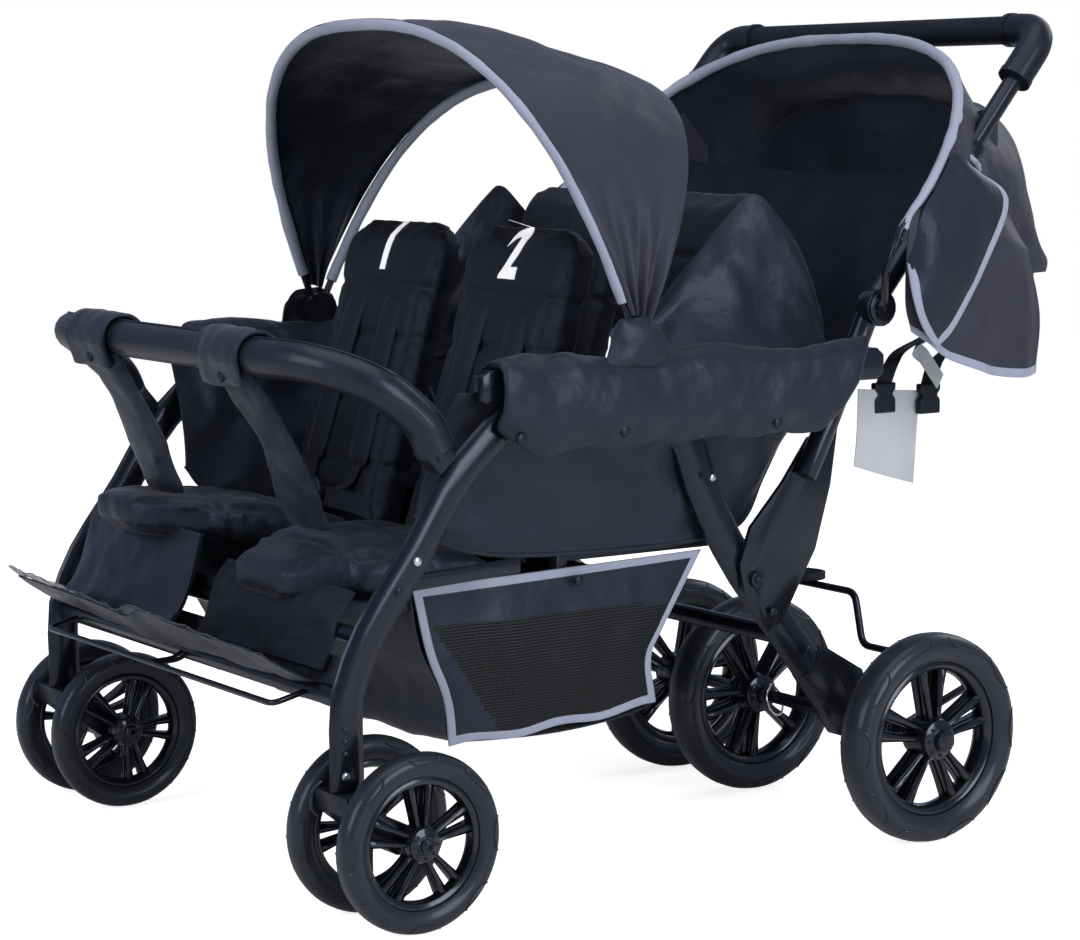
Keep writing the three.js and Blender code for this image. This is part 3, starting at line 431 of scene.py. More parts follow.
def smoothed(points, per_span=8):
    """Points on one smooth curve through the given ones."""
    ends = [points[0] * 2 - points[1]] + list(points) + [points[-1] * 2 - points[-2]]
    made = []
    for a, b, c, d in zip(ends, ends[1:], ends[2:], ends[3:]):
        for i in range(per_span):
            t = i / per_span
            made.append(0.5 * (2 * b + (c - a) * t + (2 * a - 5 * b + 4 * c - d) * t ** 2
                               + (3 * b - a - 3 * c + d) * t ** 3))
    return made + [points[-1]]


def profile(*pairs, per_span=6):
    """A smooth curve in the middle plane through pairs of y and z."""
    return smoothed([at(0, y, z) for y, z in pairs], per_span)


def along(line, share):
    """A place part of the way along a list of points."""
    spot = min(max(share, 0), 1) * (len(line) - 1)
    i = min(int(spot), len(line) - 2)
    return line[i].lerp(line[i + 1], spot - i)


def bent(points, radius, steps=5):
    """Straight runs with a rounded corner, radius in millimetres, at each inner point."""
    made = [points[0]]
    for before, corner, after in zip(points, points[1:], points[2:]):
        entry = corner + (before - corner).normalized() * radius / 1000
        leave = corner + (after - corner).normalized() * radius / 1000
        for i in range(steps + 1):
            t = i / steps
            made.append(entry.lerp(corner, t).lerp(corner.lerp(leave, t), t))
    return made + [points[-1]]


def swept(name, points, radius, around):
    """The mesh of a round bar, radius in millimetres, along points."""
    data = bpy.data.curves.new(name, "CURVE")
    data.dimensions = "3D"
    spline = data.splines.new("POLY")
    spline.points.add(len(points) - 1)
    for point, place in zip(spline.points, points):
        point.co = (*place, 1)
    data.bevel_depth = radius / 1000
    data.bevel_resolution = around
    data.use_fill_caps = True
    only(linked(name, data))
    bpy.ops.object.convert(target="MESH")
    return bpy.context.active_object


def bar(name, points, radius, material, body, around=2):
    """A round bar, finished."""
    return finish(outwards(swept(name, points, radius, around)), material, body, 50)


def disc(name, centre, radius, depth, axis, material, body, dome=0.3, sides=28):
    """A turned button: a cylinder whose rim is bevelled and whose face is crowned."""
    deselect()
    turn = Vector(axis).to_track_quat("Z", "Y").to_euler()
    bpy.ops.mesh.primitive_cylinder_add(vertices=sides, radius=radius / 1000, depth=depth / 1000,
                                        location=centre, rotation=turn)
    piece = bpy.context.active_object
    piece.name = name
    bpy.ops.object.mode_set(mode="EDIT")
    bpy.ops.mesh.select_mode(type="FACE")
    bpy.ops.mesh.select_all(action="DESELECT")
    shape = bmesh.from_edit_mesh(piece.data)
    for face in shape.faces:
        face.select = face.normal.z > 0.9
    bmesh.update_edit_mesh(piece.data)
    if dome:
        lift = turn.to_matrix() @ Vector((0, 0, dome * depth / 1000))
        for inset, rise in ((0.3, 1), (0.35, 0.45)):
            bpy.ops.mesh.inset(thickness=radius * inset / 1000)
            bpy.ops.transform.translate(value=lift * rise)
    bpy.ops.object.mode_set(mode="OBJECT")
    rounded(piece, min(radius, depth) * 0.12, 40, segments=2)
    return finish(piece, material, body, 50)


def rivet(name, centre, radius, side, body, material=None):
    return disc(name, centre, radius, 2.4, (side, 0, 0), material or zinc, body, 0.35, 18)


def dressed(node, soften=0.0, angle=40, material=powder_coat):
    """A smooth copy of a CAD node: its doubles merged, its sharp edges rounded, its tubes shaded round."""
    piece = only(linked(node + "_finish", frame["nodes"][node].data.copy()))
    edit_all()
    bpy.ops.mesh.remove_doubles(threshold=0.00001)
    bpy.ops.mesh.dissolve_limited(angle_limit=math.radians(0.5))
    bpy.ops.object.mode_set(mode="OBJECT")
    if soften:
        rounded(piece, soften, angle + 4, segments=2, harden_normals=False)
    finish(piece, material, frame["nodes"][node]["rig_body"], angle)
    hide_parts(node)


# Frame: steel tubes, rails, brackets
for side, sign in SIDES:
    for node, soften in (("front_leg", 0.8), ("side_rail", 1.5), ("rear_leg", 0.8), ("handle_lower", 0.7)):
        dressed(f"{node}_{side}", soften)
    dressed(f"caster_fork_{side}", 1.6, 40, nylon)
for node in ("front_cross_tube", "seat_cross_tube", "rear_cross_tube", "rear_axle"):
    dressed(node, 0.6)
dressed("seat_board", 1.5, 50, nylon)
dressed("handle_upper", 0.0, 50)

# Brake: a bent bar with a ring on the axle at each end, and a round ribbed pad.
RING_X, PEDAL_Y = 345, 551
half_run = [at(RING_X, 414, REAR_RADIUS), at(RING_X, 555, 174), at(112, 555, 174), at(100, PEDAL_Y, 242)]
brake_run = bent(half_run + [handed(place, -1) for place in reversed(half_run)], 14)
brake_bar = bar("brake_bar_finish", brake_run, 5, powder_coat, "brake", 3)
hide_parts("brake_bar")
for side, sign in SIDES:
    for end, radius, width in (("ring", 14.5, 14), ("ring_hub", 11, 17)):
        disc(f"brake_{end}_{side}", at(sign * RING_X, REAR_AXLE_Y, REAR_RADIUS), radius, width,
             (sign, 0, 0), powder_coat, "brake", 0.0)
pedal = disc("brake_pad", at(0, PEDAL_Y, 252.3), 27, 10, (0, 0, 1), pad_rubber, "brake", 0.0, 40)
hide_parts("brake_pedal")
for index, y in enumerate(range(-18, 19, 6)):
    half = math.sqrt(24 ** 2 - y ** 2)
    bar(f"brake_pad_rib_{index}", [at(-half, PEDAL_Y + y, 257), at(half, PEDAL_Y + y, 257)], 1.3,
        pad_rubber, "brake", 1)

# Foot wire under the front edge
wire = bent([at(276, -373, 247), at(276, -412, 238), at(-276, -412, 238), at(-276, -373, 247)], 12)
foot_wire = bar("foot_wire_finish", wire, 3.5, powder_coat, "frame", 2)
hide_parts("foot_wire")


# Wheels
def spin_ring(name, pairs, centre, steps):
    """A closed ring turned about X, from radius and across pairs in millimetres."""
    deselect()
    bpy.ops.mesh.primitive_circle_add(vertices=len(pairs), radius=0.01, location=(0, 0, 0))
    piece = bpy.context.active_object
    for vertex, (radius, across) in zip(piece.data.vertices, pairs):
        vertex.co = centre + Vector((across / 1000, 0, radius / 1000))
    edit_all()
    bpy.ops.mesh.spin(steps=steps, angle=2 * math.pi, center=centre, axis=(1, 0, 0))
    bpy.ops.object.mode_set(mode="OBJECT")
    piece.name = name
    return outwards(piece)


def join_all(pieces):
    only(pieces[0])
    for piece in pieces[1:]:
        piece.select_set(True)
    bpy.ops.object.join()
    return bpy.context.active_object


# The rim's edge, as a share of the wheel's radius
RIM_SHARE = 0.738


def tyre(name, centre, radius, width, body, grooves):
    """Solid tyre: crowned tread, waxy side walls, and raised half-moons with a groove at each shoulder."""
    half = width / 2
    edge = radius * RIM_SHARE
    profile_half = [(edge, 0.62), (edge + radius * 0.03, 0.78), (radius * 0.83, 0.97), (radius * 0.9, 1),
                    (radius * 0.955, 0.86), (radius * 0.985, 0.6), (radius, 0.22)]
    pairs = [(reach, -half * share) for reach, share in profile_half]
    pairs += [(reach, half * share) for reach, share in reversed(profile_half)]
    parts = [spin_ring(name, pairs, centre, 72)]
    for index in range(grooves):
        middle = index * 2 * math.pi / grooves
        for wall in (-1, 1):
            arc = []
            for step in range(13):
                turn = math.pi * step / 12
                angle = middle + 0.2 * math.cos(turn) + (0.5 * math.pi / grooves if wall < 0 else 0)
                rise = math.sin(turn)
                reach = radius * (0.972 - 0.085 * rise)
                across = wall * half * (0.74 + 0.27 * min(1, 1.6 * rise))
                arc.append(centre + Vector((across / 1000, reach / 1000 * math.cos(angle),
                                            reach / 1000 * math.sin(angle))))
            parts.append(swept("half_moon", arc, 1.1, 1))
    return finish(join_all(parts), tyre_skin, body, 38)


def spoke_half(centre, inner, outer, angle, lean, widths, front, back):
    """One blade of a split spoke: a long block whose outer end is wider and set back."""
    deselect()
    bpy.ops.mesh.primitive_cube_add(size=1, location=(0, 0, 0))
    blade = bpy.context.active_object
    edit_all()
    bpy.ops.mesh.subdivide(number_cuts=3)
    bpy.ops.object.mode_set(mode="OBJECT")
    for vertex in blade.data.vertices:
        u = vertex.co.z + 0.5
        outside = vertex.co.x > 0
        half = mix(widths[0], widths[1], u ** 1.5)
        across = vertex.co.y * 2 * half + lean * (6 + 9 * u)
        depth = front - (front - back) * (0.5 - vertex.co.x)
        if outside:
            depth = depth * (1 - 0.35 * (2 * vertex.co.y) ** 2) - 4 * u
        vertex.co = (depth / 1000, across / 1000, mix(inner, outer, u) / 1000)
    blade.data.transform(Matrix.Translation(centre) @ Matrix.Rotation(angle, 4, "X"))
    return blade


def rim(name, centre, radius, width, body, axle):
    """Moulded rim: a flanged ring, five split spokes and a domed hub."""
    outer = radius * RIM_SHARE - 0.3
    half = width / 2
    hub = outer * 0.25
    ring = [(1, -0.58), (1, 0.58), (0.955, 0.66), (0.9, 0.5), (0.865, 0.1), (0.865, -0.1), (0.9, -0.5),
            (0.955, -0.66)]
    parts = [spin_ring(name, [(outer * reach, half * share) for reach, share in ring], centre, 72)]
    for wall in (-1, 1):
        dome = [(hub * reach, wall * half * share) for reach, share in
                ((1.15, 0), (1.12, 0.55), (1.02, 0.86), (0.84, 0.97), (0.62, 1))]
        dome = [(axle + 0.6, 0)] + dome + [(hub * 0.58, wall * (half + 2)), (axle + 0.6, wall * (half + 2))]
        parts.append(spin_ring("hub", dome, centre, 40))
    scale = radius / REAR_RADIUS
    for index in range(5):
        for lean in (-1, 1):
            for wall in (-1, 1):
                parts.append(spoke_half(centre, hub, outer * 0.93, index * 2 * math.pi / 5, lean * scale,
                                        (3.6 * scale, 7.2 * scale), wall * half * 0.62, wall * half * 0.08))
    whole = join_all(parts)
    rounded(whole, 0.7, 50, segments=2)
    outwards(whole)
    return finish(whole, gloss_abs, body, 35)


def wheel_set(end, centre, radius, width, axle, places, grooves):
    """The first wheel is modelled in full and the others are its copies, each turned a little."""
    first = None
    for number, (label, x) in enumerate(places):
        body = f"{end}_wheel_{label}"
        tyre_name, rim_name, cap_name, screw_name = (
            f"{end}_{part}_{label}" for part in ("tyre", "rim", "hub_cap", "hub_screw"))
        if first is None:
            base = Vector((x / 1000, centre.y, centre.z))
            made_tyre = tyre(tyre_name + "_finish", base, radius, width, body, grooves)
            made_rim = rim(rim_name + "_finish", base, radius, width, body, axle)
            cap = disc(cap_name, base + Vector(((width / 2 + 2.6) / 1000, 0, 0)), radius * 0.085, 5,
                       (1, 0, 0), gloss_abs, body, 0.4, 32)
            screws = []
            for i in range(8):
                reach, angle = radius * 0.148 / 1000, i * math.pi / 4
                place = base + Vector((width * 0.487 / 1000, reach * math.cos(angle),
                                       reach * math.sin(angle)))
                screws.append(disc(f"{screw_name}_{i}", place, radius * 0.018, 2.2, (1, 0, 0), nylon, body,
                                   0.0, 10))
            first = (base, made_tyre, made_rim, cap, screws)
        else:
            base, tyre_one, rim_one, cap_one, screws_one = first
            shift = (base, Vector((x / 1000, 0, 0)) - Vector((base.x, 0, 0)))
            turn = number * 0.43
            made_tyre = twin(tyre_one, tyre_name + "_finish", shift, body, turn)
            made_rim = twin(rim_one, rim_name + "_finish", shift, body, turn)
            twin(cap_one, cap_name, shift, body)
            for i, screw in enumerate(screws_one):
                twin(screw, f"{screw_name}_{i}", shift, body, turn)
        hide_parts(tyre_name)
        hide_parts(rim_name)


wheel_set("rear", at(0, REAR_AXLE_Y, REAR_RADIUS), REAR_RADIUS, 46, 8,
          [("outer_left", 408), ("inner_left", 77), ("inner_right", -77), ("outer_right", -408)], 10)
wheel_set("front", at(0, FRONT_AXLE_Y, FRONT_RADIUS), FRONT_RADIUS, 31, 6,
          [("outer_left", 394.5), ("inner_left", 291.5), ("inner_right", -291.5), ("outer_right", -394.5)], 8)


# Cloth helpers
def crease(place, scale, depth, seed=0.0):
    """Soft folds in a cloth: a smooth wander, depth in millimetres."""
    x, y, z = place.x * scale, place.y * scale, place.z * scale
    wide = noise.noise(Vector((x + seed, y, z)))
    fine = noise.noise(Vector((x * 2.3, y * 2.3 + seed, z * 2.3)))
    ridge = 0.45 - 1.5 * abs(noise.noise(Vector((x * 1.4, y * 1.4, z * 1.1 - seed))))
    return (0.7 * wide + 0.4 * fine + 0.75 * ridge) * depth / 1000


def along_normals(piece, amount):
    """Moves each point along its normal, by what amount(place) says in metres."""
    piece.data.update()
    normals = [v.normal.copy() for v in piece.data.vertices]
    for vertex, normal in zip(piece.data.vertices, normals):
        vertex.co += normal * amount(vertex.co)
    return piece


def cloth_grid(name, columns, rows, place, wrinkle, scale, keep_edge=True):
    """A grid whose points go where place(u, v) says, with folds along the surface's normal."""
    deselect()
    bpy.ops.mesh.primitive_grid_add(x_subdivisions=columns, y_subdivisions=rows, size=1)
    piece = bpy.context.active_object
    shares = [(v.co.x + 0.5, v.co.y + 0.5) for v in piece.data.vertices]
    for vertex, (u, v) in zip(piece.data.vertices, shares):
        vertex.co = place(u, v)
    piece.data.update()
    normals = [v.normal.copy() for v in piece.data.vertices]
    for vertex, normal, (u, v) in zip(piece.data.vertices, normals, shares):
        free = min(1, 8 * v * (1 - v)) * min(1, 14 * u * (1 - u)) if keep_edge else 1
        vertex.co += normal * crease(vertex.co, scale, wrinkle, len(name)) * free
    piece.name = name
    return piece


def clothe(piece, outer, inner, body, thickness=1.4):
    """Thickness in millimetres and two faces: the outer cloth and its lining."""
    piece.data.materials.clear()
    piece.data.materials.append(outer)
    piece.data.materials.append(inner)
    apply(piece, "SOLIDIFY", thickness=thickness / 1000, offset=0.0, material_offset=1,
          use_rim=True, material_offset_rim=0)
    return finish(piece, None, body, 60)


def binding(name, edge, inward, body, width=10):
    """Ribbon folded round a hem. edge and inward are points along the hem and just inside it."""
    thickness = 3.4
    lips = [(-0.6, 0.38), (0.8, 0.5), (width - 1, 0.47), (width, 0.3)]
    section = [(-1.2, 0.0)] + lips + [(inside, -across) for inside, across in reversed(lips)]
    count = len(section)
    points, faces = [], []
    for i, (here, inside) in enumerate(zip(edge, inward)):
        ahead = edge[min(i + 1, len(edge) - 1)] - edge[max(i - 1, 0)]
        in_way = (inside - here).normalized()
        up = ahead.normalized().cross(in_way).normalized()
        for reach, across in section:
            points.append(here + in_way * reach / 1000 + up * across * thickness / 1000)
        if i:
            for j in range(count):
                a, b = (i - 1) * count + j, (i - 1) * count + (j + 1) % count
                faces.append((a, b, b + count, a + count))
    faces.append(tuple(range(count)))
    faces.append(tuple(range(len(points) - count, len(points)))[::-1])
    data = bpy.data.meshes.new(name)
    data.from_pydata(points, [], faces)
    return finish(outwards(linked(name, data)), ribbon, body, 50)


def hem(name, place, fixed, way, body, steps, inset=0.04, width=10):
    """Ribbon along one edge of a sheet that place(u, v) describes. way is "u" or "v"."""
    edge, inward = [], []
    inside = fixed + inset if fixed < 0.5 else fixed - inset
    for i in range(steps + 1):
        t = i / steps
        edge.append(place(t, fixed) if way == "u" else place(fixed, t))
        inward.append(place(t, inside) if way == "u" else place(inside, t))
    return binding(name, edge, inward, body, width)


def block(name, nu, nv, nw, place):
    """A closed form from a cube whose points go where place(u, v, w) says."""
    deselect()
    bpy.ops.mesh.primitive_cube_add(size=1)
    piece = bpy.context.active_object
    shape = bmesh.new()
    shape.from_mesh(piece.data)
    for axis, cuts in ((0, nu), (1, nv), (2, nw)):
        for i in range(1, cuts):
            point = Vector((0, 0, 0))
            point[axis] = i / cuts - 0.5
            normal = Vector((0, 0, 0))
            normal[axis] = 1
            bmesh.ops.bisect_plane(shape, geom=shape.verts[:] + shape.edges[:] + shape.faces[:],
                                   plane_co=point, plane_no=normal)
    shape.to_mesh(piece.data)
    shape.free()
    for vertex in piece.data.vertices:
        vertex.co = place(*(c + 0.5 for c in vertex.co))
    piece.name = name
    return outwards(piece)


VOXEL_MM, STUFFING_FRAMES = 6, 20


def stuff(piece, cap, pressure):
    """Wadding: remeshed, blown up a little as cloth, each point held within cap millimetres."""
    apply(piece, "REMESH", mode="VOXEL", voxel_size=VOXEL_MM / 1000)
    rest = [v.co.copy() for v in piece.data.vertices]
    only(piece)
    cloth = piece.modifiers.new("stuffing", "CLOTH")
    cloth.settings.use_pressure = True
    cloth.settings.uniform_pressure_force = pressure
    cloth.settings.quality = 4
    cloth.settings.effector_weights.gravity = 0
    scene = bpy.context.scene
    for number in range(1, STUFFING_FRAMES + 1):
        scene.frame_set(number)
    shape = piece.evaluated_get(bpy.context.evaluated_depsgraph_get()).data
    moved = [v.co.copy() for v in shape.vertices]
    piece.modifiers.remove(cloth)
    scene.frame_set(1)
    for vertex, old, new in zip(piece.data.vertices, rest, moved):
        step = new - old
        if step.length > cap / 1000:
            step = step.normalized() * cap / 1000
        vertex.co = old + step
    return piece


def sew(piece, lines, depth, width):
    """Pulls the cloth in along sewn lines. Each line gives a signed distance in millimetres for a point."""
    return along_normals(piece, lambda place: -depth / 1000 * max(
        math.exp(-(line(place) / width) ** 2) for line in lines))


def crumple(piece, depth, scale, seed=0.0):
    """Fine folds over a stuffed piece."""
    return along_normals(piece, lambda place: crease(place, scale, depth, seed))


def stretch(piece):
    """Takes the piece off its body: it loses its parent and body mark and keeps its place in its mesh."""
    piece.parent = None
    piece.matrix_world = Matrix.Identity(4)
    del piece["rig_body"]
    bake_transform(piece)


# Front canopy: one sheet over two hoops, with a ribbon on both hems. A hoop is its pivots' y and z, half
# its width, its span, its lean in degrees and the power of its curve.
CANOPY = (10, 606.8)
FRONT_HOOP = (CANOPY, 351, 381, -21.9, 2.55)
REAR_HOOP = (CANOPY, 340, 329, 25.5, 2.95)
CLOTH_OVER_HOOP = 6.5


def arch(origin, half, span, lean, power, turn):
    """A point on a hoop that leans from its pivots. turn runs from 0 at the left foot to 1 at the right."""
    share = turn if turn < 0.5 else 1 - turn
    angle = math.pi * 0.5 * (2 * share) ** (power / 2)
    side = math.cos(angle) ** (2 / power) if angle < math.pi / 2 else 0.0
    reach = span * math.sin(angle) ** (2 / power)
    lean = math.radians(lean)
    x = half * side * (1 if turn < 0.5 else -1)
    return at(x, origin[0] + reach * math.sin(lean), origin[1] + reach * math.cos(lean))


def front_cover(u, v):
    """The cloth lies just outside both hoops and sags between them: u from foot to foot, v back."""
    turn = mix(0.03, 0.97, u)
    rise = math.sin(math.pi * u) ** 2
    sag = 21 * math.sin(math.pi * v) * rise + 5 * math.sin(math.pi * v) * (1 - rise)
    half = (FRONT_HOOP[1] + CLOTH_OVER_HOOP) * (1 - 0.018 * math.sin(math.pi * v))
    span = mix(FRONT_HOOP[2] + CLOTH_OVER_HOOP, REAR_HOOP[2] + CLOTH_OVER_HOOP, v) - sag
    lean, power = (mix(front, rear, v) for front, rear in zip(FRONT_HOOP[3:], REAR_HOOP[3:]))
    return arch(CANOPY, half, span, lean, power, turn)


def gathered(u, v):
    """Folds that fan out from the feet of the canopy."""
    base = front_cover(u, v)
    foot = max(0, 1 - 5.5 * min(u, 1 - u))
    return base + Vector((0.006 * foot * math.sin(v * 21) * (1 if u < 0.5 else -1), 0, 0))


def hoop_sleeve(name, hoop, body, radius=6.8, start=0.045):
    """Ribbon sewn round a hoop: a sleeve along its arch, with soft folds over it."""
    line = [arch(*hoop, mix(start, 1 - start, i / 120)) for i in range(121)]
    return crumple(bar(name, line, radius, ribbon, body, 4), 1.2, 26, radius)


canopy = cloth_grid("front_canopy_cloth", 150, 40, gathered, 6.5, 9)
clothe(canopy, polyester, lining, "frame")
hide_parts("front_canopy")
front_ribbon = hoop_sleeve("front_canopy_front_ribbon", FRONT_HOOP, "canopy_hoop")
rear_ribbon = hoop_sleeve("front_canopy_rear_ribbon", REAR_HOOP, "frame")
stretch(canopy)
dressed("front_canopy_front_hoop", angle=62)
dressed("front_canopy_rear_hoop", angle=62)
for side, sign in SIDES:
    def boot_form(u, v, w, sign=sign):
        """The gathered cloth over a pivot: u back, v up, w outwards."""
        across = 2 * u - 1
        x = mix(355.5, 366, w) - 7 * w * (across ** 4 + (2 * v - 1) ** 4)
        y = mix(-44, 48, u) * (1.0 - 0.28 * v ** 2) + 4
        z = mix(574, 634, v) - 9 * across ** 2 * (1 - v) - 12 * across ** 4 * v
        return at(sign * x, y, z)

    boot = block(f"canopy_boot_{side}", 8, 8, 3, boot_form)
    smooth(boot, 2)
    crumple(boot, 4.0, 22)
    finish(boot, polyester, "frame", 60)

# Rear hood: roof, sides and hanging back in one shell, with side flaps
HOOD = (350, 685)
HOOD_HALF, HOOD_SPAN, HOOD_LEAN, HOOD_POWER = 367, 369.95, 42.99, 2.65
HOOD_REAR_ARCH = ((622, 628), 300, 268, 15, 2.9)
ROOF_SHARE = 0.55
HANGING_Y, HANGING_Z = 722, 655


def hood_front(turn, grow=6.0):
    return arch(HOOD, HOOD_HALF + grow, HOOD_SPAN + grow, HOOD_LEAN, HOOD_POWER, turn)


def hood_back(turn):
    return arch(*HOOD_REAR_ARCH, turn)


def hood_cover(u, v):
    """v runs from the hoop over the roof to the rear arch, then down the hanging back."""
    turn = mix(0.035, 0.965, u)
    start, rear = hood_front(turn), hood_back(turn)
    if v <= ROOF_SHARE:
        t = v / ROOF_SHARE
        place = start.lerp(rear, t)
        dip = 0.026 * math.sin(math.pi * t) ** 0.8 * math.sin(math.pi * u) ** 2
        place += Vector((0, -0.45 * dip, -0.9 * dip))
        place.x *= 1 + 0.02 * math.sin(math.pi * t)
        return place
    t = (v - ROOF_SHARE) / (1 - ROOF_SHARE)
    hanging = at(0, HANGING_Y, HANGING_Z)
    low = min(rear.z, hanging.z + 0.018 * math.sin(u * 19))
    fold = 0.009 * math.sin(u * 34) * t
    y = mix(rear.y, hanging.y, math.sin(t * math.pi / 2) ** 0.8) + fold
    if rear.z <= 0.66:
        y = rear.y + 0.02 * t
    return Vector((rear.x * (1 - 0.16 * t), y, mix(rear.z, low, t ** 1.25)))


hood = cloth_grid("rear_hood_cloth", 150, 76, hood_cover, 8.0, 8)
clothe(hood, polyester, lining, "handle")
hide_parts("rear_canopy")
hood_ribbon = hoop_sleeve("rear_hood_ribbon", (HOOD, HOOD_HALF, HOOD_SPAN, HOOD_LEAN, HOOD_POWER),
                          "hood_hoop", 7.0, 0.05)
stretch(hood)
dressed("rear_canopy_hoop", angle=62)

PANEL_FRONT = smoothed([at(352, 413, 603), at(358, 398, 643)]
                       + [hood_front(turn, 7.5) for turn in (0.055, 0.10, 0.15, 0.215)], 6)
PANEL_REAR = smoothed([at(335, 640, 541), at(338, 641, 614), at(338, 616, 701), at(336, 609, 790),
                       at(330, 608, 868)], 6)
TONGUE_FRONT = smoothed([at(364, 392, 684), hood_front(0.075, 10), hood_front(0.11, 9),
                         hood_front(0.165, 8)], 6)
TONGUE_REAR = smoothed([at(366, 438, 584), at(372, 462, 610), at(372, 513, 687), at(362, 552, 756),
                        at(346, 514, 790)], 6)


def hood_panel(u, v):
    """Side panel that hangs from the hoop: u up the hoop, v back to the rear edge."""
    place = along(PANEL_FRONT, u).lerp(along(PANEL_REAR, u), v)
    low = 0.022 * (1 - u) ** 4 * math.sin(math.pi * v) ** 0.8
    swell = 0.008 * math.sin(math.pi * v) * (1 + 0.5 * math.sin(u * 7)) + 0.006 * math.sin(v * 17) * (1 - u)
    tuck = min(1, max(0, (u - 0.48) / 0.22)) * min(1, v / 0.35)
    place.x = mix(place.x, 0.288, tuck ** 0.8)
    return place + Vector((swell * (1 - tuck), 0, -low))


def pointed_flap(u, v):
    """Loose tongue with a piped edge, outside the side panel: u from its point upwards."""
    place = along(TONGUE_FRONT, u).lerp(along(TONGUE_REAR, u), v)
    drop = Vector((0, -0.016, -0.012)) * math.sin(math.pi * v) * (1 - u) ** 5
    return place + drop + Vector((0.012 * math.sin(math.pi * v) * (1 - 0.5 * u), 0, 0))


for side, sign in SIDES:
    def panel_place(u, v, sign=sign):
        return handed(hood_panel(u, v), sign)

    def flap_place(u, v, sign=sign):
        return handed(pointed_flap(u, v) + Vector((0.004, 0, 0)), sign)

    panel = cloth_grid(f"rear_hood_side_{side}", 50, 40, panel_place, 6.0, 10)
    clothe(panel, polyester, lining, "handle")
    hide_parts(f"rear_canopy_flap_{side}")
    lower = hem(f"rear_hood_hem_{side}", panel_place, 0, "v", "handle", 40)
    flap = cloth_grid(f"rear_hood_flap_{side}", 30, 20, flap_place, 3.0, 16)
    clothe(flap, polyester, polyester, "handle")
    piped = [flap_place(0, i / 14) for i in range(15)] + [flap_place(i / 36, 1) for i in range(2, 37)]
    heart = [flap_place(0.12, mix(0.25, 0.8, i / 14)) for i in range(15)]
    heart += [flap_place(max(0.12, i / 36), 0.8) for i in range(2, 37)]
    outer = binding(f"rear_hood_flap_ribbon_{side}", piped, heart, "handle")

# Seats: pads, backs, straps, numerals
LEAN = math.radians(16)
UP_THE_BACK = Vector((0, math.sin(LEAN), math.cos(LEAN)))
OUT_OF_BACK = Vector((0, -math.cos(LEAN), math.sin(LEAN)))
HINGES = {"front": (-85, 336.9), "rear": (182, 373.9)}
SEAT_X = 137


def aside(place, x):
    """A place set x millimetres to the left of the middle plane."""
    return Vector((x / 1000, place.y, place.z))


def on_back(row, x, forward, up):
    """A place on a seat back: forward of its middle plane, and up from its hinge, in millimetres."""
    y, z = HINGES[row]
    return at(x, y - forward * math.cos(LEAN) + up * math.sin(LEAN),
              z + forward * math.sin(LEAN) + up * math.cos(LEAN))


def back_share(row, place):
    """How far up a seat back a point lies, in millimetres from its hinge."""
    y, z = HINGES[row]
    from_hinge = place - at(place.x * 1000, y, z)
    return (from_hinge.y * math.sin(LEAN) + from_hinge.z * math.cos(LEAN)) * 1000


def seat_back(row, side, sign):
    """A quilted back: cross seams, and a seam down each side."""
    centre = sign * SEAT_X

    def form(u, v, w):
        across, up = 2 * u - 1, 14 + 396 * v
        over = max(0, (v - 0.84) / 0.16)
        half = 116 * math.sqrt(max(0.02, 1 - 0.62 * over ** 3.2))
        swell = (1 - abs(across) ** 5) * (1 - abs(2 * v - 1) ** 8)
        bow = 10 * across ** 2
        forward = mix(8 + 12 * swell, -13, w) + bow * (1 - w) * 0.6
        return on_back(row, centre + across * half, forward, up)

    piece = block(f"{row}_seat_back_{side}_cushion", 20, 32, 3, form)
    stuff(piece, 7, 3.5)
    seams = [lambda p, z=z: back_share(row, p) - z for z in (96, 176, 256, 318)]
    seams.append(lambda p: abs(p.x * 1000 - centre) - 86 if back_share(row, p) < 318 else 60)
    sew(piece, seams, 4.5, 5)
    crumple(piece, 1.6, 26, sign)
    smooth(piece)
    finish(piece, seat_cloth, f"{row}_back_{side}", 80)
    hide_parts(f"{row}_seat_back_{side}")
    return piece


def seat_pad(row, side, sign):
    """A stuffed pad. The far front one also has a raised lip."""
    centre = sign * SEAT_X
    far_lip = 1.0 if (row, side) == ("front", "right") else 0.0
    front, rear, base = {"front": (mix(-362, -402, far_lip), -112, 334), "rear": (-26, 155, 371)}[row]

    def form(u, v, w):
        across = 2 * u - 1
        corner = max(0, 1 - v / 0.34)
        half = 121 * (1 - 0.26 * corner ** 2.4)
        swell = (1 - abs(across) ** 4) * (1 - abs(2 * v - 1) ** 4)
        lip = max(0, 1 - v / mix(0.42, 0.8, far_lip))
        y = mix(front + mix(44, 66, far_lip) * across ** 4, rear, v)
        rise = far_lip * 50 * lip ** 0.9 + 8 * lip * (1 - lip)
        thick = mix(24 + 30 * swell, 25, lip)
        if row == "rear":
            rise, thick = 0, 20 + 17 * swell
        return at(centre + across * half, y, base + rise + 3 * lip * w + thick * w)

    piece = block(f"{row}_seat_pad_{side}_cushion", 20, 22, 3, form)
    stuff(piece, 8, 4)
    seams = [lambda p, y=y: (p.y - line_y) * 1000 - y for y in
             ((-292, -215) if row == "front" else (40, 100))]
    seams.append(lambda p: abs(p.x * 1000 - centre) - 96)
    sew(piece, seams, 4.0, 5)
    crumple(piece, 2.2, 22, sign + 3)
    smooth(piece)
    finish(piece, polyester if row == "front" else seat_cloth, "frame", 80)
    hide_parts(f"{row}_seat_pad_{side}")


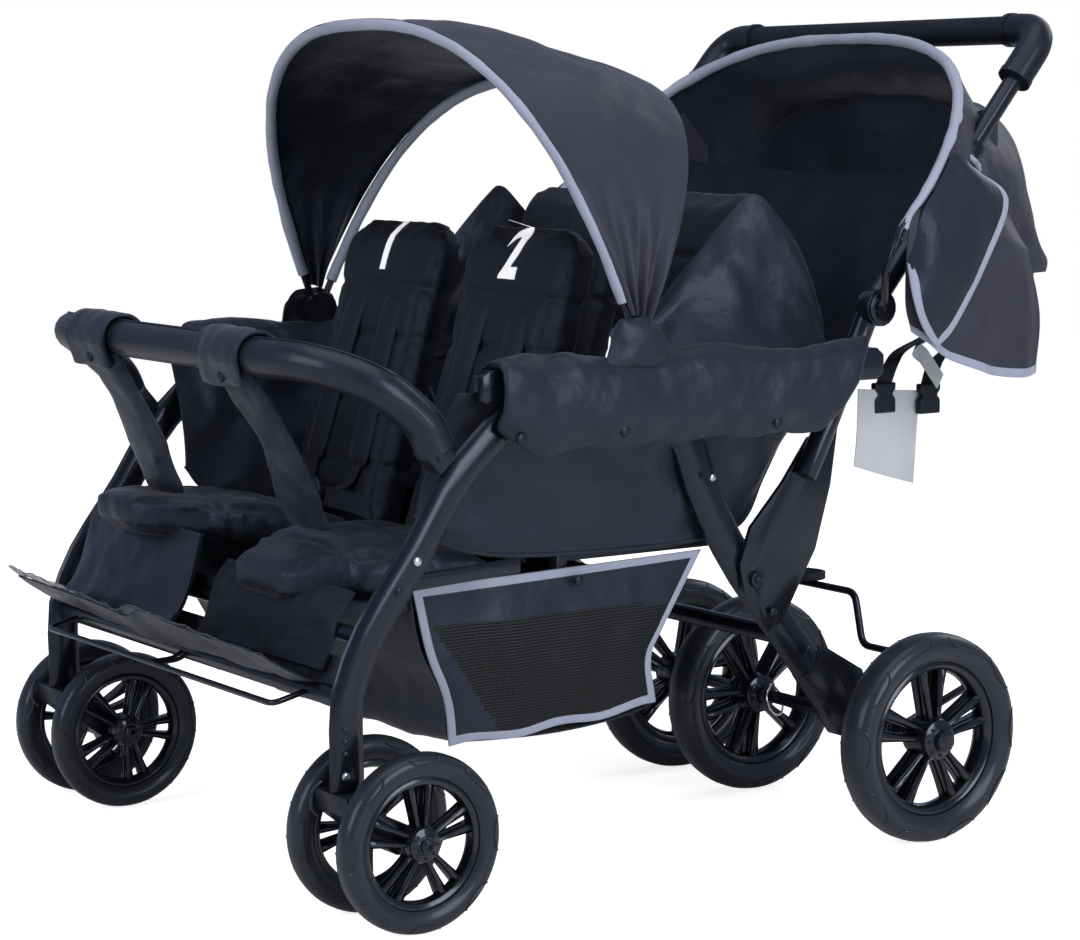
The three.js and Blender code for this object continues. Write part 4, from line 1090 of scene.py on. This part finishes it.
def strip(name, path, across, width, thickness, material, body, puff=0.0):
    """A strap: a flat or stuffed band along a path. across gives its width direction."""
    line = smoothed(path, 6)
    count = len(line) - 1
    side_way = Vector(across).normalized()

    def form(u, v, w):
        step = min(count, int(round(v * count)))
        ahead = (line[min(count, step + 1)] - line[max(0, step - 1)]).normalized()
        up = ahead.cross(side_way).normalized()
        edge, end = 2 * u - 1, abs(2 * v - 1)
        fat = thickness * (1 - puff * abs(edge) ** 3) * (1 - puff * end ** 10)
        taper = 1 - 0.35 * puff * end ** 12
        return line[step] + side_way * edge * width / 2000 * taper + up * (w - 0.5) * fat / 1000

    piece = block(name, 8, count, 2, form)
    if puff:
        crumple(piece, 1.2, 40, width)
        smooth(piece)
    return finish(piece, material, body, 60)


def harness(row, side, sign):
    """Two padded shoulder straps, their webbing, two waist straps and a buckle."""
    centre, body = sign * SEAT_X, f"{row}_back_{side}"
    for number, hand in enumerate((-1, 1)):
        x = centre + hand * 40
        path = [on_back(row, x + hand * out, forward, up) for out, forward, up in
                ((0, 8, 314), (2, 25, 296), (6, 29, 215), (10, 29, 140), (12, 30, 92))]
        pad = strip(f"{row}_shoulder_pad_{side}_{number}", path, (1, 0, 0), 44, 13, seat_cloth, body, 0.75)
        lower = [on_back(row, x + hand * 12, 30, 96), on_back(row, x + hand * 4, 34, 66),
                 on_back(row, centre + hand * 14, 44, 52)]
        strip(f"{row}_shoulder_web_{side}_{number}", lower, (1, 0, 0.1), 24, 2, webbing, body)
        waist = [on_back(row, centre + hand * 104, 16, 40), on_back(row, centre + hand * 70, 30, 46),
                 on_back(row, centre + hand * 16, 46, 48)]
        strip(f"{row}_waist_web_{side}_{number}", waist, (0, 0.28, 0.96), 24, 2, webbing, body)
    disc(f"{row}_buckle_{side}", on_back(row, centre, 50, 48), 21, 12, OUT_OF_BACK, nylon, body,
         0.25, 32)


def numeral(digit, cushion, side, sign):
    """A printed digit, laid on the seat head."""
    deselect()
    bpy.ops.object.text_add()
    text = bpy.context.active_object
    text.data.body = digit
    text.data.align_x, text.data.align_y = "CENTER", "CENTER"
    text.data.size = 0.088
    text.data.offset = 0.0032
    text.data.extrude = 0.0004
    text.data.resolution_u = 8
    bpy.ops.object.convert(target="MESH")
    piece = bpy.context.active_object
    piece.name = f"seat_numeral_{side}"
    centre = on_back("front", sign * SEAT_X, 40, 366)
    axes = Matrix((Vector((1, 0, 0)), UP_THE_BACK, OUT_OF_BACK)).transposed().to_4x4()
    piece.data.transform(Matrix.Scale(0.78, 4, (1, 0, 0)))
    piece.data.transform(Matrix.Translation(centre) @ axes)
    edit_all()
    bpy.ops.mesh.quads_convert_to_tris()
    bpy.ops.mesh.subdivide(number_cuts=5)
    bpy.ops.object.mode_set(mode="OBJECT")
    for vertex in piece.data.vertices:
        lift = (vertex.co - centre).dot(OUT_OF_BACK)
        hit, spot, normal, face = cushion.ray_cast(vertex.co + OUT_OF_BACK * 0.05, -OUT_OF_BACK, distance=0.2)
        if hit:
            vertex.co = spot + OUT_OF_BACK * (0.0014 + lift)
    finish(piece, ink_with_painted_glow, f"front_back_{side}", 30)


for row in ("front", "rear"):
    for side, sign in SIDES:
        cushion = seat_back(row, side, sign)
        seat_pad(row, side, sign)
        harness(row, side, sign)
        if row == "front":
            numeral("2" if sign > 0 else "1", cushion, side, sign)

# Rear seats: a cloth wing on each outer side, from the head of the seat back down to the rail.
WING_TOP = profile((60, 590), (103, 635), (172, 706), (226, 756), (246, 764), (270, 745), (312, 697),
                   (350, 615))
for side, sign in SIDES:
    def wing_place(u, v, sign=sign):
        x = mix(305, 262, min(1, v * 1.4)) + 6 * math.sin(v * 5 + u * 4)
        return aside(at(0, mix(62, 345, u), 540).lerp(along(WING_TOP, u), v), sign * x)

    wing = cloth_grid(f"rear_seat_wing_{side}", 44, 26, wing_place, 11.0, 10)
    clothe(wing, polyester, seat_cloth, "frame", 3.0)

# Side sleeves over the rails, side panels and inner curtains
SLEEVE_SECTION = [Vector(pair) for pair in ((304, 556), (317, 584), (336, 596), (355, 594), (369, 580),
                                            (376, 550), (374, 518), (362, 494))]
PANEL_LOW = profile((-226, 424), (-196, 392), (-120, 371), (21, 363), (140, 364), (222, 378), (256, 430),
                    (286, 480))
for side, sign in SIDES:
    def sleeve_place(u, v, w, sign=sign):
        """u runs back, v over the rail and down its outer face, w from inside to outside."""
        x, z = along(SLEEVE_SECTION, v)
        low = max(0, v - 0.35) / 0.65
        y = mix(mix(-176, 348, u), mix(-180, 268, u), low ** 1.3)
        z += (30 * max(0, 1 - u * 9) ** 1.5 + 2 * math.sin(u * 31)) * low + 5 * math.sin(u * 14) * (1 - low)
        depth = (1 - w) * 17 * (1 - 0.6 * abs(2 * v - 1) ** 4) * (1 - 0.7 * abs(2 * u - 1) ** 14)
        return at(sign * (x - depth * (0.4 + 0.6 * low)), y, z - depth * (1 - low))

    sleeve = block(f"side_sleeve_{side}", 64, 20, 2, sleeve_place)
    crumple(sleeve, 4.6, 12, sign)
    crumple(sleeve, 2.8, 34, sign)
    sew(sleeve, [lambda p: p.z * 1000 - 508 - 3 * math.sin((p.y - line_y) * 18)], 2.2, 3.5)
    smooth(sleeve)
    finish(sleeve, polyester, "frame", 80)
    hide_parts(f"side_bolster_{side}")
    for number, (y, z) in enumerate(((-158, 512), (-20, 512), (196, 508))):
        rivet(f"sleeve_snap_{side}_{number}", at(sign * 372, y, z), 6.5, sign, "frame", nylon)

    def panel_cloth(u, v, sign=sign):
        """u runs back and v up, from the lower edge to the rail."""
        x = mix(268, 332, v ** 1.5) + 7 * math.sin(math.pi * v) * math.sin(u * 8)
        return aside(along(PANEL_LOW, u).lerp(at(0, mix(-214, 330, u), 560), v), sign * x)

    panel = cloth_grid(f"side_panel_{side}_cloth", 60, 34, panel_cloth, 12.0, 9)
    clothe(panel, polyester, seat_cloth, "frame", 3.0)
    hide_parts(f"side_panel_{side}")
    piping = bar(f"side_panel_piping_{side}", [panel_cloth(i / 60, 0.0) for i in range(61)], 3.2, polyester,
                 "frame", 3)

# Bumper bar: grained vinyl over foam, with a sewn seam, and crotch pieces round it
BUMPER_Y, BUMPER_Z, BUMPER_RADIUS = -386, 600, 21.5
CUFF_X, ROUND_SHARE = 160, 0.6
half_run = [at(354, -256, 504), at(351, -274, 537), at(337, -322, 576), at(290, -366, 597),
            at(215, BUMPER_Y, BUMPER_Z), at(107.5, BUMPER_Y, BUMPER_Z)]
bumper_line = smoothed(half_run + [at(0, BUMPER_Y, BUMPER_Z)]
                       + [handed(place, -1) for place in reversed(half_run)], 10)
bumper = bar("bumper_cover", bumper_line, BUMPER_RADIUS, vinyl, "bumper", 6)
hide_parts("bumper_bar")
seam = []
for i, here in enumerate(bumper_line):
    ahead = (bumper_line[min(i + 1, len(bumper_line) - 1)] - bumper_line[max(0, i - 1)]).normalized()
    top = Vector((0, 0, 1)) - ahead * ahead.z
    back = ahead.cross(top).normalized()
    back = back if back.y > 0 else -back
    way = (top.normalized() * 0.75 + back * -0.15).normalized()
    seam.append(here + way * BUMPER_RADIUS / 1000)
bar("bumper_seam", seam, 1.7, vinyl, "bumper", 1)
for side, sign in SIDES:
    def clamp_form(u, v, w, sign=sign):
        """A square clamp set on its corner, turned in line with the bar's end."""
        y = mix(mix(-228, -249, u), mix(-249, -271, u), v)
        z = mix(mix(496, 477, u), mix(521, 500, u), v)
        return at(sign * mix(331, 355, w), y, z)

    clamp = block(f"bumper_clamp_{side}", 1, 1, 1, clamp_form)
    rounded(clamp, 3, segments=3)
    finish(clamp, nylon, "bumper", 40)
    disc(f"bumper_button_{side}", at(sign * 356, -249, 499), 7, 3, (sign, 0, 0), nylon, "bumper",
         0.3)

    tail_y, tail_z = (-284, 402) if sign > 0 else (-318, 410)

    def cuff_form(u, v, w, sign=sign):
        """The wide cuff: v runs from behind the bar, over it, and down to the snap."""
        if v < ROUND_SHARE:
            angle = math.radians(mix(-40, 195, v / ROUND_SHARE))
            radius = 23.5 + 7 * w
            y, z = BUMPER_Y + radius * math.cos(angle), BUMPER_Z + radius * math.sin(angle)
        else:
            t = (v - ROUND_SHARE) / (1 - ROUND_SHARE)
            y, z = BUMPER_Y - mix(23, 12, t) - 7 * w, mix(594, 566, t)
        return at(sign * CUFF_X + (2 * u - 1) * (50 - 5 * v), y, z)

    def strap_form(u, v, w, sign=sign, tail_y=tail_y, tail_z=tail_z):
        """The strap: v runs from under the cuff down to the seat."""
        edge = 2 * u - 1
        y = mix(-397, tail_y, v ** 0.85) + 6 * math.sin(math.pi * v)
        half = 41 - 5 * math.sin(math.pi * min(1, v * 1.6)) + 5 * v
        thick = (5 + 11 * (1 - edge ** 4)) * (1 - 0.5 * v ** 6) * (w - 0.3)
        return at(sign * mix(158, SEAT_X, v) + edge * half, y - thick * 0.86,
                  mix(588, tail_z, v) - thick * 0.5)

    cuff = block(f"bumper_cuff_{side}", 14, 34, 2, cuff_form)
    crumple(cuff, 3.0, 22, sign)
    sew(cuff, [lambda p, sign=sign: abs(p.x * 1000 - sign * CUFF_X) - 42], 1.6, 2.6)
    smooth(cuff)
    finish(cuff, polyester, "bumper", 80)
    strap = block(f"crotch_piece_{side}", 14, 44, 2, strap_form)
    crumple(strap, 5.5, 15, sign * 2)
    sew(strap, [lambda p, sign=sign: abs(p.x * 1000 - sign * 146) - 31], 2.0, 3)
    smooth(strap)
    finish(strap, polyester, "frame", 80)
    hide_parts(f"crotch_strap_{side}")
    stretch(strap)
    disc(f"crotch_snap_{side}", at(sign * CUFF_X + 6, -409, 577), 6.5, 3, (0, -1, 0), nylon, "bumper",
         0.3)

# Basket: net and cloth side walls in a ribbon edge, a cloth tub between them
BASKET_FRONT = profile((-185, 163), (-192, 217), (-214, 270), (-231, 342))
BASKET_REAR = profile((99, 178), (93, 231), (112, 268), (164, 352))
for side, sign in SIDES:
    def basket_side(u, v, sign=sign):
        place = along(BASKET_FRONT, v).lerp(along(BASKET_REAR, v), u)
        middle = math.sin(math.pi * v)
        bulge = 9 * math.sin(math.pi * u) * middle + 2 * math.sin(u * 23) * middle
        place.z += (0.0025 * math.sin(u * 15) - 0.004 * math.sin(math.pi * u)) * (1 - v)
        return aside(place, sign * (269 + bulge))

    wall = cloth_grid(f"basket_side_{side}", 70, 36, basket_side, 3.5, 12)
    clothe(wall, polyester, polyester, "frame", 1.2)
    wall.data.materials[1] = net
    for face in wall.data.polygons:
        # Net behind a slanting line and below the cloth's top band
        middle = face.center
        slant = -118 - (middle.z * 1000 - 170) * 0.70
        netted = middle.z < 0.296 and (middle.y - line_y) * 1000 > slant
        face.material_index = 1 if netted else 0
    edges = [hem(f"basket_ribbon_{side}_{number}", basket_side, fixed, way, "frame", 48, 0.05, 9)
             for number, (fixed, way) in enumerate(((0, "u"), (1, "u"), (0, "v"), (1, "v")))]

TUB = profile((-236, 345), (-222, 276), (-192, 217), (-186, 172), (-150, 164), (-40, 160), (60, 168),
              (98, 184), (92, 231), (106, 268), (128, 316))


def basket_tub(u, v):
    """u runs down the front, back along the floor and up the rear, and v across."""
    place = along(TUB, u)
    middle = math.sin(math.pi * v)
    sag = 0.005 * middle * math.sin(math.pi * u)
    place += Vector((0, -0.010 * middle * max(0, 1 - 5 * u), -sag))
    return aside(place, mix(-267.5, 267.5, v))


tub = cloth_grid("basket_tub", 90, 40, basket_tub, 6.0, 10)
clothe(tub, polyester, lining, "frame", 1.4)
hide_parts("basket")

# Calf panels, foot sling with its clear edge, and the ends of the foot wire
CALF = {"left": profile((-316, 350), (-332, 330), (-340, 306), (-347, 286), (-358, 270), per_span=5),
        "right": profile((-342, 380), (-350, 350), (-359, 320), (-371, 295), (-388, 279), per_span=5)}
for side, sign in SIDES:
    def calf_place(u, v, side=side, sign=sign):
        place = along(CALF[side], v)
        place.y -= 0.012 * math.sin(math.pi * u) ** 0.6 * math.sin(math.pi * v)
        return aside(place, sign * mix(8, 286, u))

    calf = cloth_grid(f"calf_panel_{side}", 40, 26, calf_place, 4.5, 14)
    clothe(calf, polyester, seat_cloth, "frame", 5.0)

SLING = profile((-342, 284), (-350, 268), (-362, 259), (-388, 268), (-418, 284), (-436, 296))


def sling_place(u, v):
    """u runs across from the right, and v forward."""
    place = along(SLING, v)
    x = mix(-294, 294, u) * (1 + 0.10 * max(0, v - 0.55) * (1 if u < 0.5 else 0.2))
    sag = -0.008 * math.sin(math.pi * u) * math.sin(math.pi * v)
    scoop = math.tanh((u - 0.5) * 40) * math.exp(-7 * abs(u - 0.5)) * max(0, v - 0.4)
    place.z += sag + 0.012 * max(0, v - 0.6) * (1 - u) + 0.014 * scoop
    return aside(place, x)


def edge_place(u, v):
    """The clear edge, in front of the sling."""
    wave = 0.0006 * math.sin(u * 61) + 0.0003 * math.sin(u * 137)
    rise = 0.002 + 0.012 * v * (1 - 0.7 * u)
    return sling_place(u, 0.99) + Vector((0, wave * v - 0.014 * v, wave * v + rise))


sling = cloth_grid("foot_sling_cloth", 90, 34, sling_place, 6.0, 12)
clothe(sling, polyester, seat_cloth, "frame", 2.2)
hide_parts("foot_sling")
clear_edge = cloth_grid("foot_sling_clear_edge", 120, 8, edge_place, 2.2, 34, False)
clothe(clear_edge, clear_vinyl, clear_vinyl, "frame", 1.0)
for number, sign in enumerate((-1, 1)):
    run = bent([at(sign * 7, y, z) for y, z in ((-410, 239), (-380, 240), (-350, 262))], 10)
    bar(f"foot_wire_return_{number}", run, 2.6, powder_coat, "frame", 2)

# Hand grip: foam sleeve and moulded elbows
UP_THE_TUBE = Vector((0, 0.6446, 0.7646))
TUBE_X, GRIP_Y, GRIP_Z = 312, 663.6, 961.7
grip = bar("foam_grip", [at(x, GRIP_Y, GRIP_Z) for x in range(-256, 257, 16)], 17.6, grip_foam, "grip",
           6)
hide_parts("handle_grip")
for side, sign in SIDES:
    corner = at(sign * TUBE_X, GRIP_Y, GRIP_Z)
    run = bent([at(sign * 252, GRIP_Y, GRIP_Z), corner, corner - UP_THE_TUBE * 0.078], 42, 10)
    bar(f"grip_elbow_{side}", run, 20.2, nylon, "grip", 7)
    for number, (spot, way) in enumerate(((run[0], Vector((1, 0, 0))), (run[-1], -UP_THE_TUBE))):
        bar(f"grip_elbow_lip_{side}_{number}", [spot - way * 0.004, spot + way * 0.004], 21.4, nylon,
            "grip", 7)

# Rivets, screws, snaps and knob caps
KNOB_Y, KNOB_Z = 384, 630
leg_face, rear_face = (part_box(node)[1][0] * 1000 for node in ("front_leg_left", "rear_leg_left"))
for side, sign in SIDES:
    leg_x, rear_x = sign * (leg_face + 0.6), sign * (rear_face + 0.6)
    for number, (y, z, material) in enumerate(((-278, 388, zinc), (-301, 358, nylon))):
        rivet(f"leg_rivet_{side}_{number}", at(leg_x, y, z), 5, sign, "frame", material)
    rivet(f"leg_foot_screw_{side}", at(leg_x, -368, 168), 4.5, sign, "frame")
    # The holes near the foot of each leg are black discs on the leg: painted shade in place of open holes.
    for number, z in enumerate((192, 205, 218)):
        rivet(f"leg_foot_hole_{side}_{number}", at(sign * (leg_face + 0.2), -368, z), 3.2, sign, "frame",
              gloss_abs)
    for number, (y, z) in enumerate(((244, 276), (222, 316), (300, 226))):
        rivet(f"rear_leg_rivet_{side}_{number}", at(rear_x, y, z), 5, sign, "rear_frame", nylon)
    rivet(f"rear_leg_pin_{side}", at(rear_x, 152, 442), 4.5, sign, "rear_frame")
    rivet(f"knob_cap_{side}", at(sign * 334.5, KNOB_Y, KNOB_Z), 20, sign, "handle", nylon)
    disc(f"knob_centre_{side}", at(sign * 336.6, KNOB_Y, KNOB_Z), 8, 3, (sign, 0, 0), nylon, "handle",
         0.2, 24)
    for number in range(6):
        turn = math.radians(60 * number + 15)
        place = at(sign * 336.4, KNOB_Y + 14 * math.cos(turn), KNOB_Z + 14 * math.sin(turn))
        disc(f"knob_stud_{side}_{number}", place, 1.8, 1.4, (sign, 0, 0), gloss_abs, "handle",
             0.2, 10)

# Under the hood: straps with side-release buckles, a white strap end and the pale tie-on cloth
for number, (y, z) in enumerate(((501, 508), (576, 503))):
    path = [at(334, 0.2 * y + 448, 646), at(300, 0.5 * y + 290, 616), at(256, 0.8 * y + 132, 588),
            at(214 + 8 * number, y + 22, 566), at(210, y + 8, 548), at(206, y, z + 16)]
    strip(f"hood_strap_{number}", path, (0.35, 0.9, 0.2), 22, 2, webbing, "handle")

    def buckle_form(u, v, w, y=y, z=z):
        waist = 1 - 0.30 * math.exp(-((v - 0.62) / 0.10) ** 2)
        return at(206 + mix(-5, 5, w), y + mix(-17, 17, u) * waist, z + mix(-20, 18, v))

    buckle = block(f"hood_buckle_{number}", 6, 12, 2, buckle_form)
    rounded(buckle, 2, 40, segments=3)
    finish(buckle, nylon, "handle", 40)
path = [at(330, 560, 640), at(280, 544, 606), at(222, 541, 573), at(220, 556, 556), at(219, 572, 538),
        at(219, 584, 524)]
strip("white_strap", path, (0, 0.5, 0.85), 20, 1.6, pale_cloth, "handle")


def loose_cloth(u, v):
    x = 204 + 5 * math.sin(u * 5 + v * 2)
    top, low = at(x, mix(461, 568, u), mix(520, 512, u)), at(x, mix(452, 552, u), mix(424, 396, u))
    return top.lerp(low, v)


pale = cloth_grid("pale_tie_cloth", 20, 20, loose_cloth, 3.0, 16)
clothe(pale, pale_cloth, pale_cloth, "handle", 1.0)

# Spring clips on the rear axle and the wire levers of the casters
for side, sign in SIDES:
    loop = [at(sign * x, y, z) for x, y, z in ((120, 396, 142), (128, 382, 128), (134, 388, 108),
                                               (126, 408, 104), (118, 416, 122), (112, 404, 140))]
    bar(f"axle_clip_{side}", smoothed(loop, 6), 1.5, nickel, "rear_frame", 3)
    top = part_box(f"caster_fork_{side}")[1][2] * 1000
    lever = [at(sign * 343, y, top - down) for y, down in ((-392, 20), (-402, 28), (-404, 46), (-396, 56))]
    bar(f"caster_lever_{side}", smoothed(lever, 5), 2.2, powder_coat, f"caster_{side}", 2)

# Cloth behind the rear seats, on the handle tubes: near black on both faces, painted shade.
BACK_CLOTH = profile((372, 566), (396, 628), (436, 690), (486, 752), (540, 800))


def back_cloth(u, v):
    place = along(BACK_CLOTH, v)
    half = mix(292, 284, v)
    sag = 0.045 * math.sin(math.pi * u) ** 0.7
    return aside(place + Vector((0, sag, -0.4 * sag * v)), mix(-half, half, u))


rear_cloth = cloth_grid("rear_back_cloth", 70, 40, back_cloth, 10.0, 8)
clothe(rear_cloth, backing, backing, "handle", 1.4)

# Cloth pieces that get meshes of their own, a ribbon where each tube leaves the hood, and the basket's snap
BASKET_TOP = at(0, 0, 352)
for piece, anchor, keep in ((pale, at(0, 0, 520), 0.08), (tub, BASKET_TOP, 0.2),
                            (rear_cloth, at(0, 0, 800), 0.3)):
    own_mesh(piece)
ring_way = Vector((1, 0, 0)).cross(UP_THE_TUBE)
for side, sign in SIDES:
    for name in [f"basket_ribbon_{side}_{number}" for number in range(4)] + [f"basket_side_{side}"]:
        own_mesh(bpy.data.objects[name])
    for name in (f"side_panel_{side}_cloth", f"side_panel_piping_{side}"):
        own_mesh(bpy.data.objects[name])
    ring = [at(sign * TUBE_X, 527, 800) + Vector((0.024 * math.cos(turn * math.pi / 9), 0, 0))
            + ring_way * 0.021 * math.sin(turn * math.pi / 9) for turn in range(19)]
    bar(f"tube_opening_ribbon_{side}", ring, 4, ribbon, "handle", 3)
disc("basket_snap", at(281, -18, 334), 6, 3, (1, 0, 0), nylon, "frame", 0.3)
